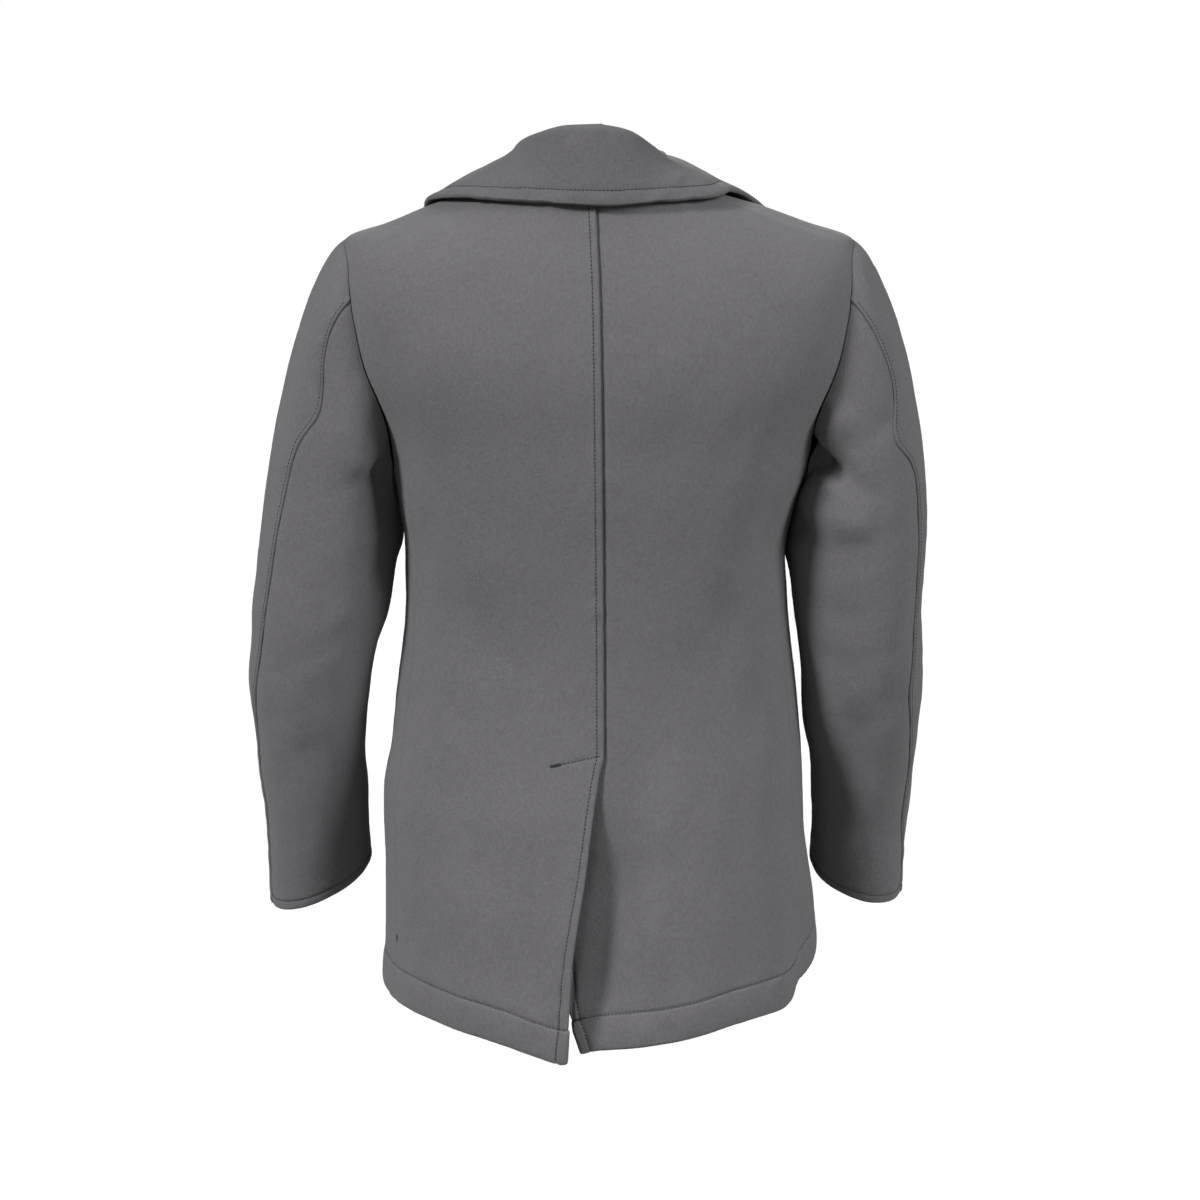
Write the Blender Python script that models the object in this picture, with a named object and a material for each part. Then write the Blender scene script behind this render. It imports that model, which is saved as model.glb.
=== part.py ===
"""A pea coat in its worn shape: heavy wool walls around an empty body.

Lengths in the tables are millimetres and angles are degrees; the meshes are made
in metres, +Z up. +X is the wearer's left, +Y the back, and the origin is the
middle of the neck opening, level with the collar seam at the centre back.

Around the body an angle of 0 is the centre back, 90 the left side and 180 the
centre front; the right side has negative angles. Around a sleeve 0 is the outer
side, 90 the back, 180 the side next to the body and 270 the front.
"""
import bpy
import bmesh
import numpy as np
from mathutils import Vector

# ------------------------------------------------------------ driving sizes
MM = 0.001
CLOTH = 2.6               # one layer of heavy melton
DOUBLED = 4.2             # two pressed layers, as in the collar and lapels
SEAM_GAP = 0.3            # air between two pieces at a seam
SEAT_AIR = 0.2            # added where faceted skins lie on each other
LAP_AIR = 1.9             # air between fronts where one lies over the other

SHOULDER_TIP = -64        # height of the top of the armhole
UNDERARM = -262           # height of the bottom of the armhole
HEM = -746                # height of the hem at the side seams
VENT_TOP = -497

LAP_WIDTH = 8             # raised strip between a lapped edge and its stitching
LAP_SLOPE = 4
LAP_RAISE = 1.4
LAP_DIP = 5               # where the lower layer starts to dip under the strip
VENT_REACH = 45           # how far beside the vent's edge the lower layer lies back
COVER_REACH = 20          # how far outside the left front's edge the right front sinks
COVER_SLOPE = 15

BUTTON_RADIUS = 16
BUTTON_THICKNESS = 4
BUTTON_AIR = 0.5
BUTTON_SIDES = 20
BUTTON_PROFILE = [        # share of the radius, share of the thickness
    (0, 0), (0.86, 0), (1.0, 0.4), (1.0, 0.7), (0.88, 1.0), (0.70, 0.8), (0, 0.8),
]


# ---------------------------------------------------------------- reading tables
def monotone_cubic(at, keys, values):
    """Cubic through (keys, values) that never overshoots; flat past both ends."""
    at = np.clip(np.asarray(at, float), keys[0], keys[-1])
    steps = np.diff(keys)
    rises = np.diff(values) / steps
    slopes = np.empty(len(keys))
    slopes[0], slopes[-1] = rises[0], rises[-1]
    before, after = rises[:-1], rises[1:]
    weight_before = 2 * steps[1:] + steps[:-1]
    weight_after = steps[1:] + 2 * steps[:-1]
    same_way = before * after > 0
    safe_before = np.where(same_way, before, 1.0)
    safe_after = np.where(same_way, after, 1.0)
    mean = (weight_before + weight_after) / (weight_before / safe_before + weight_after / safe_after)
    slopes[1:-1] = np.where(same_way, mean, 0.0)
    k = np.clip(np.searchsorted(keys, at, side="right") - 1, 0, len(keys) - 2)
    u = (at - keys[k]) / steps[k]
    return ((1 + 2 * u) * (1 - u) ** 2 * values[k]
            + u * (1 - u) ** 2 * steps[k] * slopes[k]
            + u * u * (3 - 2 * u) * values[k + 1]
            + u * u * (u - 1) * steps[k] * slopes[k + 1])


class Table:
    """Rows of numbers with named columns, read smoothly along the first column."""

    def __init__(self, names, rows):
        ordered = np.array(sorted(rows), float)
        self.keys = ordered[:, 0]
        self.columns = dict(zip(names.split()[1:], ordered[:, 1:].T))

    def read(self, name, at):
        return monotone_cubic(at, self.keys, self.columns[name])


def ease(value):
    """0 below 0, 1 above 1, and a smooth step between."""
    value = np.clip(value, 0.0, 1.0)
    return value * value * (3 - 2 * value)


def unit(vectors):
    return vectors / np.linalg.norm(vectors, axis=-1, keepdims=True)


def stack(x, y, z):
    return np.stack(np.broadcast_arrays(x, y, z), axis=-1)


# ------------------------------------------------------------ the body's rings
# Each ring is an oval with its own half width to the left and right, its depth to
# the back and front, and a squareness of 2 for an ellipse or more for fuller sides.
BODY = Table("height left right back front square", [
    (-800, 204, 202, 149, 156, 2.4),
    (-746, 203, 202, 147, 155, 2.4),
    (-680, 199, 198, 140, 153, 2.4),
    (-640, 199, 192, 136, 151, 2.4),
    (-600, 199, 187, 131, 150, 2.35),
    (-560, 198, 184, 126, 148, 2.35),
    (-520, 191, 182, 120, 145, 2.35),
    (-446, 183, 174, 112, 142, 2.35),
    (-371, 175, 166, 110, 141, 2.35),
    (-340, 175, 164, 112, 142, 2.35),
    (-300, 178, 171, 115, 144, 2.35),
    (-262, 184, 183, 118, 146, 2.35),
    (-248, 186, 186, 119, 146, 2.35),
    (-228, 192, 192, 120, 146, 2.35),
    (-211, 200, 200, 121, 144, 2.35),
    (-190, 212, 212, 122, 142, 2.35),
    (-175, 220, 220, 122, 140, 2.35),
    (-152, 226, 226, 121, 136, 2.35),
    (-112, 231, 231, 114, 124, 2.28),
    (-98, 231, 231, 110, 119, 2.25),
    (-82, 229, 227, 104, 111, 2.15),
    (-73, 225, 222, 101, 106, 2.1),
    (-64, 221, 217, 97, 101, 2.1),
    (-52, 188, 182, 91, 93, 2.05),
    (-38, 155, 144, 86, 85, 2.0),
    (-27, 126, 107, 82, 79, 2.0),
    (-14, 95, 76, 78, 72, 2.0),
    (0, 71, 51, 70, 62, 2.0),
])
SIDE_SEAM = Table("height angle", [
    (-800, 66), (-600, 67), (-430, 70), (-310, 76), (UNDERARM, 80),
])
ARMHOLE = Table("height back front", [
    (UNDERARM, 80, 80),
    (-259, 79, 85),
    (-250, 77.6, 95),
    (-238, 74.4, 104),
    (-228, 71.2, 110),
    (-211, 66.9, 116.5),
    (-190, 63.7, 120),
    (-175, 63.3, 120.5),
    (-152, 64, 120),
    (-112, 65.9, 116),
    (-98, 67.4, 113),
    (-82, 70.8, 108),
    (-73, 77.2, 103),
    (-68, 82, 97),
    (SHOULDER_TIP, 90, 90),
])
CENTRE_BACK = Table("height seam under", [      # X of the upper edge and of the lower layer
    (-800, 31, 12),
    (-764, 30, 20),
    (-737, 28, 28),
    (-695, 26, 34),
    (-600, 13, 41),
    (-583, 11, 41),
    (-530, 4, 40),
    (-515, 1.5, 38),
    (VENT_TOP, -2, 5),
    (-300, -1, 6),
    (-116, 1, 8),
    (0, 6, 13),
])
VENT = Table("height recess", [                 # how deep the lower layer lies at the vent
    (-800, 9), (-740, 10), (-640, 12), (-580, 8), (-530, 2.5), (VENT_TOP, 0.5), (-470, 0),
])
FRONT_EDGE = Table("height left right", [       # how far each front passes the centre
    (-830, 97, 97),
    (-345, 97, 97),
    (-325, 94, 94),
    (-165, 17, 17),
    (0, -62, -45),
])
HEM_DROP = Table("angle drop", [
    (-180, -6), (-118, 5), (-90, 20), (-74, 14), (-60, 6), (-33, 1), (-15, -8), (-7, -12), (0, -19),
    (7, -26), (13, -21), (21, -13), (31, -7), (42, -4), (60, 0), (100, 0), (180, -6),
])
HEM_DROP_STARTS = -600

# Soft folds of the body cloth: where each starts and ends, how far it is raised
# (or sunk, below 0) at either end, and its half width.
BODY_FOLDS = [
    # name            angle height depth   angle height depth  width
    ("left skirt",      48,  -600,   -1,     44,  -790,   -4,    24),
    ("right hollow",   -70,  -650,    0,    -67,  -800,  -19,    30),
    ("right skirt",    -40,  -560,   -1,    -36,  -780,   -3,    26),
    ("left waist",      60,  -330,   -3,     30,  -410,   -2,    28),
    ("right waist",    -60,  -330,   -3,    -28,  -420,   -3,    30),
    ("left blade",      50,  -200,    1,     36,  -330,    3,    34),
    ("right blade",    -50,  -200,    1,    -36,  -330,    3,    34),
    ("left front",     125,  -560,   -1,    128,  -780,   -4,    28),
    ("right front",   -125,  -560,   -1,   -128,  -780,   -4,    28),
]
MM_PER_DEGREE = 2.9


def oval(angle, height):
    """Point of the body's ring at each angle and height, before any fold."""
    turn = np.radians(angle)
    across, along = np.sin(turn), np.cos(turn)
    power = 2 / BODY.read("square", height)
    half = np.where(across >= 0, BODY.read("left", height), BODY.read("right", height))
    depth = np.where(along >= 0, BODY.read("back", height), BODY.read("front", height))
    x = half * np.sign(across) * np.abs(across) ** power
    y = depth * np.sign(along) * np.abs(along) ** power
    return stack(x, y, height)


def outward(skin, angle, height):
    """Unit vectors square to a skin of the body, pointing out of it."""
    across = skin(angle + 0.4, height) - skin(angle - 0.4, height)
    up = skin(angle, height + 1.5) - skin(angle, height - 1.5)
    return unit(np.cross(up, across))


def back_angle(x, height):
    """Angle on the back half of the ring at which it reaches the given X."""
    half = np.where(x >= 0, BODY.read("left", height), BODY.read("right", height))
    share = np.clip(np.abs(x) / half, 0, 1) ** (BODY.read("square", height) / 2)
    return np.sign(x) * np.degrees(np.arcsin(share))


def front_angle(x, height, side):
    """Angle on the front half at the given X, counted the way that side's panel runs."""
    return side * (180 - side * back_angle(x, height))


def soft_folds(folds, angle, height, mm_per_degree):
    """Height of the soft folds: a bell across each one, rising or fading along it."""
    lift = np.zeros(np.broadcast(angle, height).shape)
    for _name, angle_a, height_a, depth_a, angle_b, height_b, depth_b, width in folds:
        run = np.array([(angle_b - angle_a) * mm_per_degree, height_b - height_a])
        across = (angle - angle_a) * mm_per_degree
        down = height - height_a
        place = np.clip((across * run[0] + down * run[1]) / (run @ run), 0, 1)
        away = np.hypot(across - place * run[0], down - place * run[1])
        lift = lift + (depth_a + (depth_b - depth_a) * place) * np.exp(-(away / width) ** 2)
    return lift


def fold_lift(angle, height):
    return soft_folds(BODY_FOLDS, angle, height, MM_PER_DEGREE)


def lifted(angle, height, lift):
    return oval(angle, height) + outward(oval, angle, height) * lift[..., None]


def plain_skin(angle, height):
    return lifted(angle, height, fold_lift(angle, height))


def back_left_skin(angle, height):
    """The upper layer: a raised strip runs down its centre edge to the hem."""
    inside = oval(angle, height)[..., 0] - CENTRE_BACK.read("seam", height)
    strip = LAP_RAISE * (1 - ease((inside - LAP_WIDTH) / LAP_SLOPE))
    return lifted(angle, height, fold_lift(angle, height) + strip)


def back_right_skin(angle, height):
    """The lower layer: it dips under the strip, and deeper below the vent."""
    past = oval(angle, height)[..., 0] - CENTRE_BACK.read("seam", height)
    lap = (CLOTH + SEAM_GAP + SEAT_AIR - LAP_RAISE) * ease((past + LAP_DIP) / LAP_SLOPE)
    lap = lap + LAP_RAISE * ease((past - LAP_DIP) / LAP_SLOPE)
    vent = VENT.read("recess", height) * ease((past + VENT_REACH) / (VENT_REACH - LAP_DIP))
    return lifted(angle, height, fold_lift(angle, height) - lap - vent)


def front_right_skin(angle, height):
    """The lower front: it sinks by one layer where the left front covers it."""
    past = oval(angle, height)[..., 0] + FRONT_EDGE.read("left", height)
    cover = (CLOTH + LAP_AIR) * ease((past + COVER_REACH) / COVER_SLOPE)
    return lifted(angle, height, fold_lift(angle, height) - cover)


# ------------------------------------------------------------------- building
def cloth_material(name, colour, roughness=0.95):
    material = bpy.data.materials.new(name)
    material.use_nodes = True
    shader = material.node_tree.nodes["Principled BSDF"]
    shader.inputs["Base Color"].default_value = (*colour, 1)
    shader.inputs["Roughness"].default_value = roughness
    shader.inputs["Metallic"].default_value = 0
    return material


def finish_mesh(name, mesh, material, collection):
    """Closes the maker's work on a mesh: faces out, smooth shading, its material."""
    work = bmesh.new()
    work.from_mesh(mesh)
    bmesh.ops.triangulate(work, faces=work.faces, quad_method="SHORT_EDGE")
    if work.calc_volume(signed=True) < 0:
        bmesh.ops.reverse_faces(work, faces=work.faces)
    work.to_mesh(mesh)
    work.free()
    mesh.shade_smooth()
    mesh.set_sharp_from_angle(angle=np.radians(45))
    mesh.materials.append(material)
    thing = bpy.data.objects.new(name, mesh)
    collection.objects.link(thing)
    return thing


def wall(name, outer, out, thickness, material, collection):
    """Loft between a panel's outer and inner skins, closed round the rim."""
    rows, columns = outer.shape[:2]
    count = rows * columns
    inner = outer - out * thickness
    points = np.concatenate([outer.reshape(-1, 3), inner.reshape(-1, 3)]) * MM
    index = np.arange(count).reshape(rows, columns)
    quads = np.stack([index[:-1, :-1], index[:-1, 1:], index[1:, 1:], index[1:, :-1]], -1)
    quads = quads.reshape(-1, 4)
    rim = np.concatenate([index[0, :-1], index[:-1, -1], index[-1, :0:-1], index[:0:-1, 0]])
    after = np.roll(rim, -1)
    sides = np.stack([rim, rim + count, after + count, after], -1)
    faces = np.concatenate([quads, quads[:, ::-1] + count, sides])
    mesh = bpy.data.meshes.new(name)
    mesh.from_pydata(points.tolist(), [], faces.tolist())
    return finish_mesh(name, mesh, material, collection)


# ---------------------------------------------------------------- body panels
ARMHOLE_ROWS = [-262, -253, -238, -217, -193, -168, -143, -119, -98, -82, -70, -64]
SHOULDER_ROWS = [-58, -50, -39, -26, -13, 0]
SIDE_ROWS = [-746, -725, -690, -650, -605, -565, -530, -512, -494, -460, -420, -385, -348, -315, -285]
HEIGHTS = np.array(SIDE_ROWS + ARMHOLE_ROWS + SHOULDER_ROWS, float)
SIDE_CROWDING = 1.25      # how much closer the fronts' columns lie at the side
BACK_KEPT = 30            # angles whose columns the armhole doesn't move
FRONT_KEPT = 150
BACK_LEFT_COLUMNS = 8     # even columns, beside the close ones at the centre edge
BACK_RIGHT_COLUMNS = 7
FRONT_LEFT_COLUMNS = 16
FRONT_RIGHT_COLUMNS = 12
UNDERLAP_STEPS = (1, 5, 20)                 # close columns, X short of the centre seam
COVER_STEPS = ((22, 14), (5, 7), (-14, 3))  # X short of the left front's edge, and least own hem
COVERED_SHARES = (0.33, 0.66, 1)            # columns from the last of those to the edge


def panel_side(heights, part):
    """Angle of the seam at a panel's outer side: side seam, armhole, then shoulder."""
    below = SIDE_SEAM.read("angle", heights)
    arm = ARMHOLE.read(part, heights)
    angle = np.where(heights < UNDERARM, below, arm)
    return np.where(heights >= SHOULDER_TIP, 90.0, angle)


def crowded(angle, side, kept):
    """Columns spread up to the plain side line, moved up to the panel's real side.
    The move fades out, so that columns past the kept angle stay where they are."""
    plain = (np.sign(side) * SIDE_SEAM.read("angle", HEIGHTS))[:, None]
    share = np.clip((angle - kept) / (plain - kept), 0, 1)
    return angle + (side[:, None] - plain) * share


def seam_inset(angle, height):
    """Half a seam's gap, as degrees round the ring at that place."""
    span = np.linalg.norm(oval(angle + 1, height) - oval(angle - 1, height), axis=-1) / 2
    return SEAM_GAP / 2 / span


def with_hem_drop(angle, heights):
    """Row heights over the whole panel, the lowest rows following the hem's curve."""
    share = ease((HEM_DROP_STARTS - heights) / (HEM_DROP_STARTS - HEM))[:, None]
    drop = HEM_DROP.read("drop", (angle + 180) % 360 - 180)
    return heights[:, None] + share * drop


def body_panel(name, skin, angle, material, collection):
    """A panel of the body from the angles of its columns at each row."""
    height = with_hem_drop(angle, HEIGHTS)
    return wall(name, skin(angle, height), outward(skin, angle, height), CLOTH, material, collection)


def edge_columns(edge, offsets, count, side):
    """Angles across a back: close columns at given offsets from its centre edge,
    then even ones out to the plain side line."""
    close = np.stack([edge + offset for offset in offsets], -1)
    even = np.linspace(0, 1, count + 1)[1:]
    plain = side * SIDE_SEAM.read("angle", HEIGHTS)[:, None]
    return np.concatenate([close, close[:, -1:] + (plain - close[:, -1:]) * even], -1)


def build_backs(material, collection):
    seam = CENTRE_BACK.read("seam", HEIGHTS)
    side = panel_side(HEIGHTS, "back")
    side = side - seam_inset(side, HEIGHTS)
    edge = back_angle(seam, HEIGHTS)
    near = [back_angle(seam + offset, HEIGHTS) - edge for offset in (0, LAP_WIDTH, LAP_WIDTH + LAP_SLOPE)]
    angle = crowded(edge_columns(edge, near, BACK_LEFT_COLUMNS, 1), side, BACK_KEPT)
    body_panel("back_left", back_left_skin, angle, material, collection)

    side = panel_side(HEIGHTS, "back")
    side = -side + seam_inset(side, HEIGHTS)
    edge = back_angle(CENTRE_BACK.read("under", HEIGHTS), HEIGHTS)
    near = [back_angle(seam - offset, HEIGHTS) - edge for offset in UNDERLAP_STEPS]
    near = [np.zeros(len(HEIGHTS)), near[0] / 2] + near
    angle = crowded(edge_columns(edge, near, BACK_RIGHT_COLUMNS, -1), side, -BACK_KEPT)
    body_panel("back_right", back_right_skin, angle, material, collection)


def build_fronts(material, collection):
    left, right = FRONT_EDGE.read("left", HEIGHTS), FRONT_EDGE.read("right", HEIGHTS)
    seam = panel_side(HEIGHTS, "front")
    side = seam + seam_inset(seam, HEIGHTS)
    plain = SIDE_SEAM.read("angle", HEIGHTS)[:, None]
    edge = front_angle(-left, HEIGHTS, 1)[:, None]
    angle = plain + (edge - plain) * np.linspace(0, 1, FRONT_LEFT_COLUMNS) ** SIDE_CROWDING
    angle = crowded(angle, side, np.minimum(FRONT_KEPT, edge))
    body_panel("front_left", plain_skin, angle, material, collection)

    edge = front_angle(right, HEIGHTS, -1)[:, None]
    close = [front_angle(np.minimum(-left - offset, right - least), HEIGHTS, -1)
             for offset, least in COVER_STEPS]
    close = np.stack(close, -1)
    share = np.linspace(0, 1, FRONT_RIGHT_COLUMNS)[:-1]
    even = -plain + (close[:, :1] + plain) * share ** SIDE_CROWDING
    last = close[:, -1:] + (edge - close[:, -1:]) * np.array(COVERED_SHARES)
    angle = np.concatenate([even, close, last], -1)
    angle = crowded(angle, -side, np.maximum(-FRONT_KEPT, edge))
    body_panel("front_right", front_right_skin, angle, material, collection)


# -------------------------------------------------------------------- sleeves
# Rings below the biceps: the middle of each, how far its outer side is turned down
# (roll) and its back (pitch), half width across the arm, half depth, and the angles
# of the back and front seams.
BICEPS = -334
CUFF = -668
SLEEVES = {
    "left": Table("height x y roll pitch width depth hind fore", [
        (-690, 264, -44, 22, 13, 52, 45, 17, 207),
        (CUFF, 264, -40, 22, 13, 52, 46, 17, 207),
        (-631, 264, -33, 15, 13, 49, 48, 20, 207),
        (-588, 264, -24, 9, 12, 48, 50, 22, 207),
        (-545, 266, -14, 5, 11, 49, 52, 21, 208),
        (-504, 265, -5, 2, 10, 51, 54, 26, 208),
        (-464, 264, 2, 0, 8, 55, 56, 32, 209),
        (-425, 258, 5, -3, 5, 57, 58, 37, 210),
        (-388, 251, 6, -6, 2, 61, 60, 40, 211),
        (BICEPS, 243, 2, -8, 0, 62, 63, 46, 212),
    ]),
    "right": Table("height x y roll pitch width depth hind fore", [
        (-690, 242, -60, 16, 18, 46, 44, 17, 207),
        (CUFF, 242, -54, 16, 18, 46, 45, 17, 207),
        (-631, 241, -44, 9, 14, 44, 47, 22, 207),
        (-588, 242, -35, 5, 13, 46, 49, 37, 207),
        (-545, 241, -23, 3, 12, 48, 51, 33, 208),
        (-504, 238, -11, 1, 10, 53, 54, 37, 208),
        (-464, 237, -3, 0, 8, 55, 56, 42, 209),
        (-425, 234, 2, -3, 5, 56, 58, 36, 210),
        (-388, 231, 4, -6, 2, 58, 60, 33, 211),
        (BICEPS, 229, 2, -8, 0, 62, 63, 34, 212),
    ]),
}
CAP_PULL = Table("around x y z pull", [         # how the cloth leaves the armhole
    (0, 0.88, 0.0, -0.48, 0.46),
    (45, 0.80, 0.22, -0.55, 0.52),
    (90, 0.62, 0.22, -0.75, 0.62),
    (135, 0.60, 0.15, -0.78, 0.55),
    (180, 0.50, -0.10, -0.86, 0.45),
    (225, 0.55, -0.15, -0.82, 0.50),
    (270, 0.62, -0.18, -0.76, 0.62),
    (315, 0.80, -0.18, -0.56, 0.52),
    (360, 0.88, 0.0, -0.48, 0.46),
])
SLEEVE_FOLDS = {          # as on the body, with angles round the sleeve
    "left": [
        # name              around height depth  around height depth  width
        ("elbow bulge",       106,  -205,    2,    114,  -250,    3,    17),
        ("underarm hollow",   130,  -266,   -5,    152,  -360,   -3,    17),
        ("outer ease",         35,  -330,    0,     60,  -480,   -3,    20),
        ("forearm hollow",     95,  -520,   -3,    120,  -600,   -1,    18),
    ],
    "right": [
        ("upper bulge",       116,  -218,    3,    134,  -232,    2,    15),
        ("pinch",             122,  -256,   -5,    152,  -250,   -4,    14),
        ("ridge",             158,  -280,    2,    104,  -306,    3,    15),
        ("outer ease",         40,  -340,    0,     62,  -470,   -3,    20),
        ("forearm hollow",     98,  -500,   -3,    124,  -590,   -1,    18),
    ],
}
MM_PER_ARM_DEGREE = 1.0
UNDERARM_ROOM = 1.2       # extra air where the sleeve turns down beside the body
HIND_ROW = -119
FORE_ROW = -253
CAP_STEPS = np.linspace(0, 1, 9)
ARM_HEIGHTS = np.linspace(BICEPS, CUFF, 11)[1:]


def armhole_curve(side):
    """Points of the armhole seam, over the top to the back, under the arm and up."""
    heights = np.array(ARMHOLE_ROWS[::-1], float)
    back = plain_skin(side * ARMHOLE.read("back", heights), heights)
    front = plain_skin(side * ARMHOLE.read("front", heights), heights)
    return np.concatenate([back, front[-2::-1]]), len(heights) - 1


def around_angles(points, under):
    """Share of the way round the armhole, as an angle, half of it on each side."""
    steps = np.linalg.norm(np.diff(points, axis=0), axis=1)
    length = np.concatenate([[0], np.cumsum(steps)])
    back = 180 * length[:under + 1] / length[under]
    front = 180 + 180 * (length[under:] - length[under]) / (length[-1] - length[under])
    return np.concatenate([back, front[1:]])


def sleeve_ring(table, side, around, height):
    """Oval ring of the sleeve, turned by its roll and pitch."""
    roll = np.radians(table.read("roll", height))
    pitch = np.radians(table.read("pitch", height))
    width = table.read("width", height) * np.cos(np.radians(around))
    depth = table.read("depth", height) * np.sin(np.radians(around))
    x = table.read("x", height) + width * np.cos(roll)
    y = table.read("y", height) + depth * np.cos(pitch)
    z = height - width * np.sin(roll) - depth * np.sin(pitch)
    return stack(side * x, y, z)


def column_angles(table, around, seams, height):
    """Angles of the sleeve's columns at a height, kept evenly between its seams."""
    hind, fore = seams
    now_hind = table.read("hind", height)
    now_fore = table.read("fore", height)
    under = now_hind + (now_fore - now_hind) * (around - hind) / (fore - hind)
    past = np.where(around < hind, around + 360, around)
    top = now_fore + (now_hind + 360 - now_fore) * (past - fore) / (hind + 360 - fore)
    inside = (around >= hind) & (around <= fore)
    return np.where(inside, under, top)


def sleeve_grid(side_name, side):
    """The whole sleeve as rings from the armhole to the cuff."""
    table = SLEEVES[side_name]
    start, under = armhole_curve(side)
    around = around_angles(start, under)
    heights = ARMHOLE_ROWS[::-1]
    hind = heights.index(HIND_ROW)
    fore = len(start) - 1 - heights.index(FORE_ROW)
    seams = (around[hind], around[fore])

    def ring(height):
        return sleeve_ring(table, side, column_angles(table, around, seams, height), height)

    angles = [around + (column_angles(table, around, seams, BICEPS) - around) * s for s in CAP_STEPS]
    angles += [column_angles(table, around, seams, height) for height in ARM_HEIGHTS]
    biceps = ring(BICEPS)
    below = unit(ring(BICEPS - 2) - biceps)
    reach = np.linalg.norm(biceps - start, axis=1, keepdims=True)
    pull = stack(side * CAP_PULL.read("x", around), CAP_PULL.read("y", around), CAP_PULL.read("z", around))
    pull = unit(pull)
    strength = CAP_PULL.read("pull", around)[:, None]
    low = (0.5 - 0.5 * np.cos(np.radians(around)))[:, None]
    start = start + pull * (SEAM_GAP + UNDERARM_ROOM * low)
    rows = []
    for s in CAP_STEPS:
        rows.append((1 + 2 * s) * (1 - s) ** 2 * start + s * (1 - s) ** 2 * reach * strength * pull
                    + s * s * (3 - 2 * s) * biceps + s * s * (s - 1) * reach * below)
    rows += [ring(height) for height in ARM_HEIGHTS]
    grid = np.array(rows)
    lift = soft_folds(SLEEVE_FOLDS[side_name], np.array(angles), grid[..., 2], MM_PER_ARM_DEGREE)
    return grid + ring_normals(grid, side) * lift[..., None], hind, fore


def ring_normals(grid, side):
    """Unit vectors out of a sleeve whose first and last columns are the same."""
    closed = np.concatenate([grid[:, -2:-1], grid, grid[:, 1:2]], axis=1)
    across = closed[:, 2:] - closed[:, :-2]
    along = np.gradient(grid, axis=0)
    return unit(np.cross(along, across)) * side


def build_sleeves(material, collection):
    for side_name, side in (("left", 1), ("right", -1)):
        grid, hind, fore = sleeve_grid(side_name, side)
        out = ring_normals(grid, side)
        last = grid.shape[1] - 1
        top = list(range(fore, last)) + list(range(0, hind + 1))
        under = list(range(hind, fore + 1))
        for name, columns in (("sleeve_top_", top), ("sleeve_under_", under)):
            points = grid[:, columns].copy()
            points[:, 0] += unit(points[:, 1] - points[:, 0]) * SEAM_GAP / 2
            points[:, -1] += unit(points[:, -2] - points[:, -1]) * SEAM_GAP / 2
            wall(name + side_name, points, out[:, columns], CLOTH, material, collection)


# ----------------------------------------------------------- collar and lapels
# Sections of the left half of the collar, each from the neck seam up to the fold
# and down the fall: places on the body's rings, with the lift above them.
COLLAR = Table("part seam_a seam_z rise mid_a mid_z mid_lift edge_a edge_z edge_lift", [
    (0.00, 0, 0, 37, 0, -10, 10, 0, -24, 8),
    (0.15, 22, 0, 35, 16, -10, 10, 25, -24, 8),
    (0.30, 45, 0, 28, 44, -10, 11, 50, -23, 8),
    (0.45, 66, 0, 18, 66, -13, 12, 70, -26, 8),
    (0.60, 88, 0, 11, 88, -16, 12, 90, -32, 7),
    (0.75, 103, 0, 8, 112, -22, 11, 118, -45, 7),
    (0.88, 113, 0, 6, 126, -33, 9, 134, -66, 6.5),
    (1.00, 119, 0, 5, 151, -66, 7.5, 142, -88, 6),
])
FOLD_RADIUS = 4.2
COLLAR_LEAN = 2            # how far the stand leans in towards the neck
COLLAR_SKEW = 8
COLLAR_PARTS = np.linspace(0, 1, 14)
FOLD_TURNS = np.radians([0, 45, 90, 135, 165])
FALL_SHARES = np.linspace(0, 1, 9)[1:]


def collar_place(place, part, side):
    """Point of the fall over the body; the right half lies a little nearer the neck."""
    height = COLLAR.read(place + "_z", part) + (side < 0) * COLLAR_SKEW * np.sin(np.pi * part)
    return on_body(side * COLLAR.read(place + "_a", part), height, COLLAR.read(place + "_lift", part))


def on_body(angle, height, lift):
    return plain_skin(angle, height) + outward(plain_skin, angle, height) * np.asarray(lift)[..., None]


def collar_section(part, side):
    """One section of the collar's middle: stand, round fold, and fall."""
    seam_angle = side * COLLAR.read("seam_a", part)
    height = np.float64(0)
    seam = oval(seam_angle, height)
    aside = unit(outward(oval, seam_angle, height) * np.array([1, 1, 0]))
    up = np.array([0, 0, 1.0])
    seam = seam + up * (SEAM_GAP + SEAT_AIR) - aside * DOUBLED / 2
    top = seam + up * COLLAR.read("rise", part) - aside * COLLAR_LEAN
    mid = collar_place("mid", part, side)
    edge = collar_place("edge", part, side)
    fold = [top + aside * FOLD_RADIUS * (1 - np.cos(turn)) + up * FOLD_RADIUS * (np.sin(turn) - 1)
            for turn in FOLD_TURNS]
    leave = fold[-1]
    straight = part ** 4      # the front end is cut straight to the notch, then to the point
    fall = []
    for s in FALL_SHARES:
        curved = (1 - s) * (1 - 2 * s) * leave + 4 * s * (1 - s) * mid + s * (2 * s - 1) * edge
        near = leave + (mid - leave) * min(2 * s, 1)
        direct = near + (edge - mid) * max(2 * s - 1, 0)
        fall.append(curved + (direct - curved) * straight)
    stand = [seam, (seam + fold[0]) / 2]
    return np.array(stand + fold + fall)


def build_collar(material, collection):
    left = [collar_section(part, 1) for part in COLLAR_PARTS]
    right = [collar_section(part, -1) for part in COLLAR_PARTS[:0:-1]]
    middle = np.array(right + left)
    along = np.gradient(middle, axis=0)
    across = np.gradient(middle, axis=1)
    out = unit(np.cross(along, across))
    wall("collar", middle + out * DOUBLED / 2, out, DOUBLED, material, collection)


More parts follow.
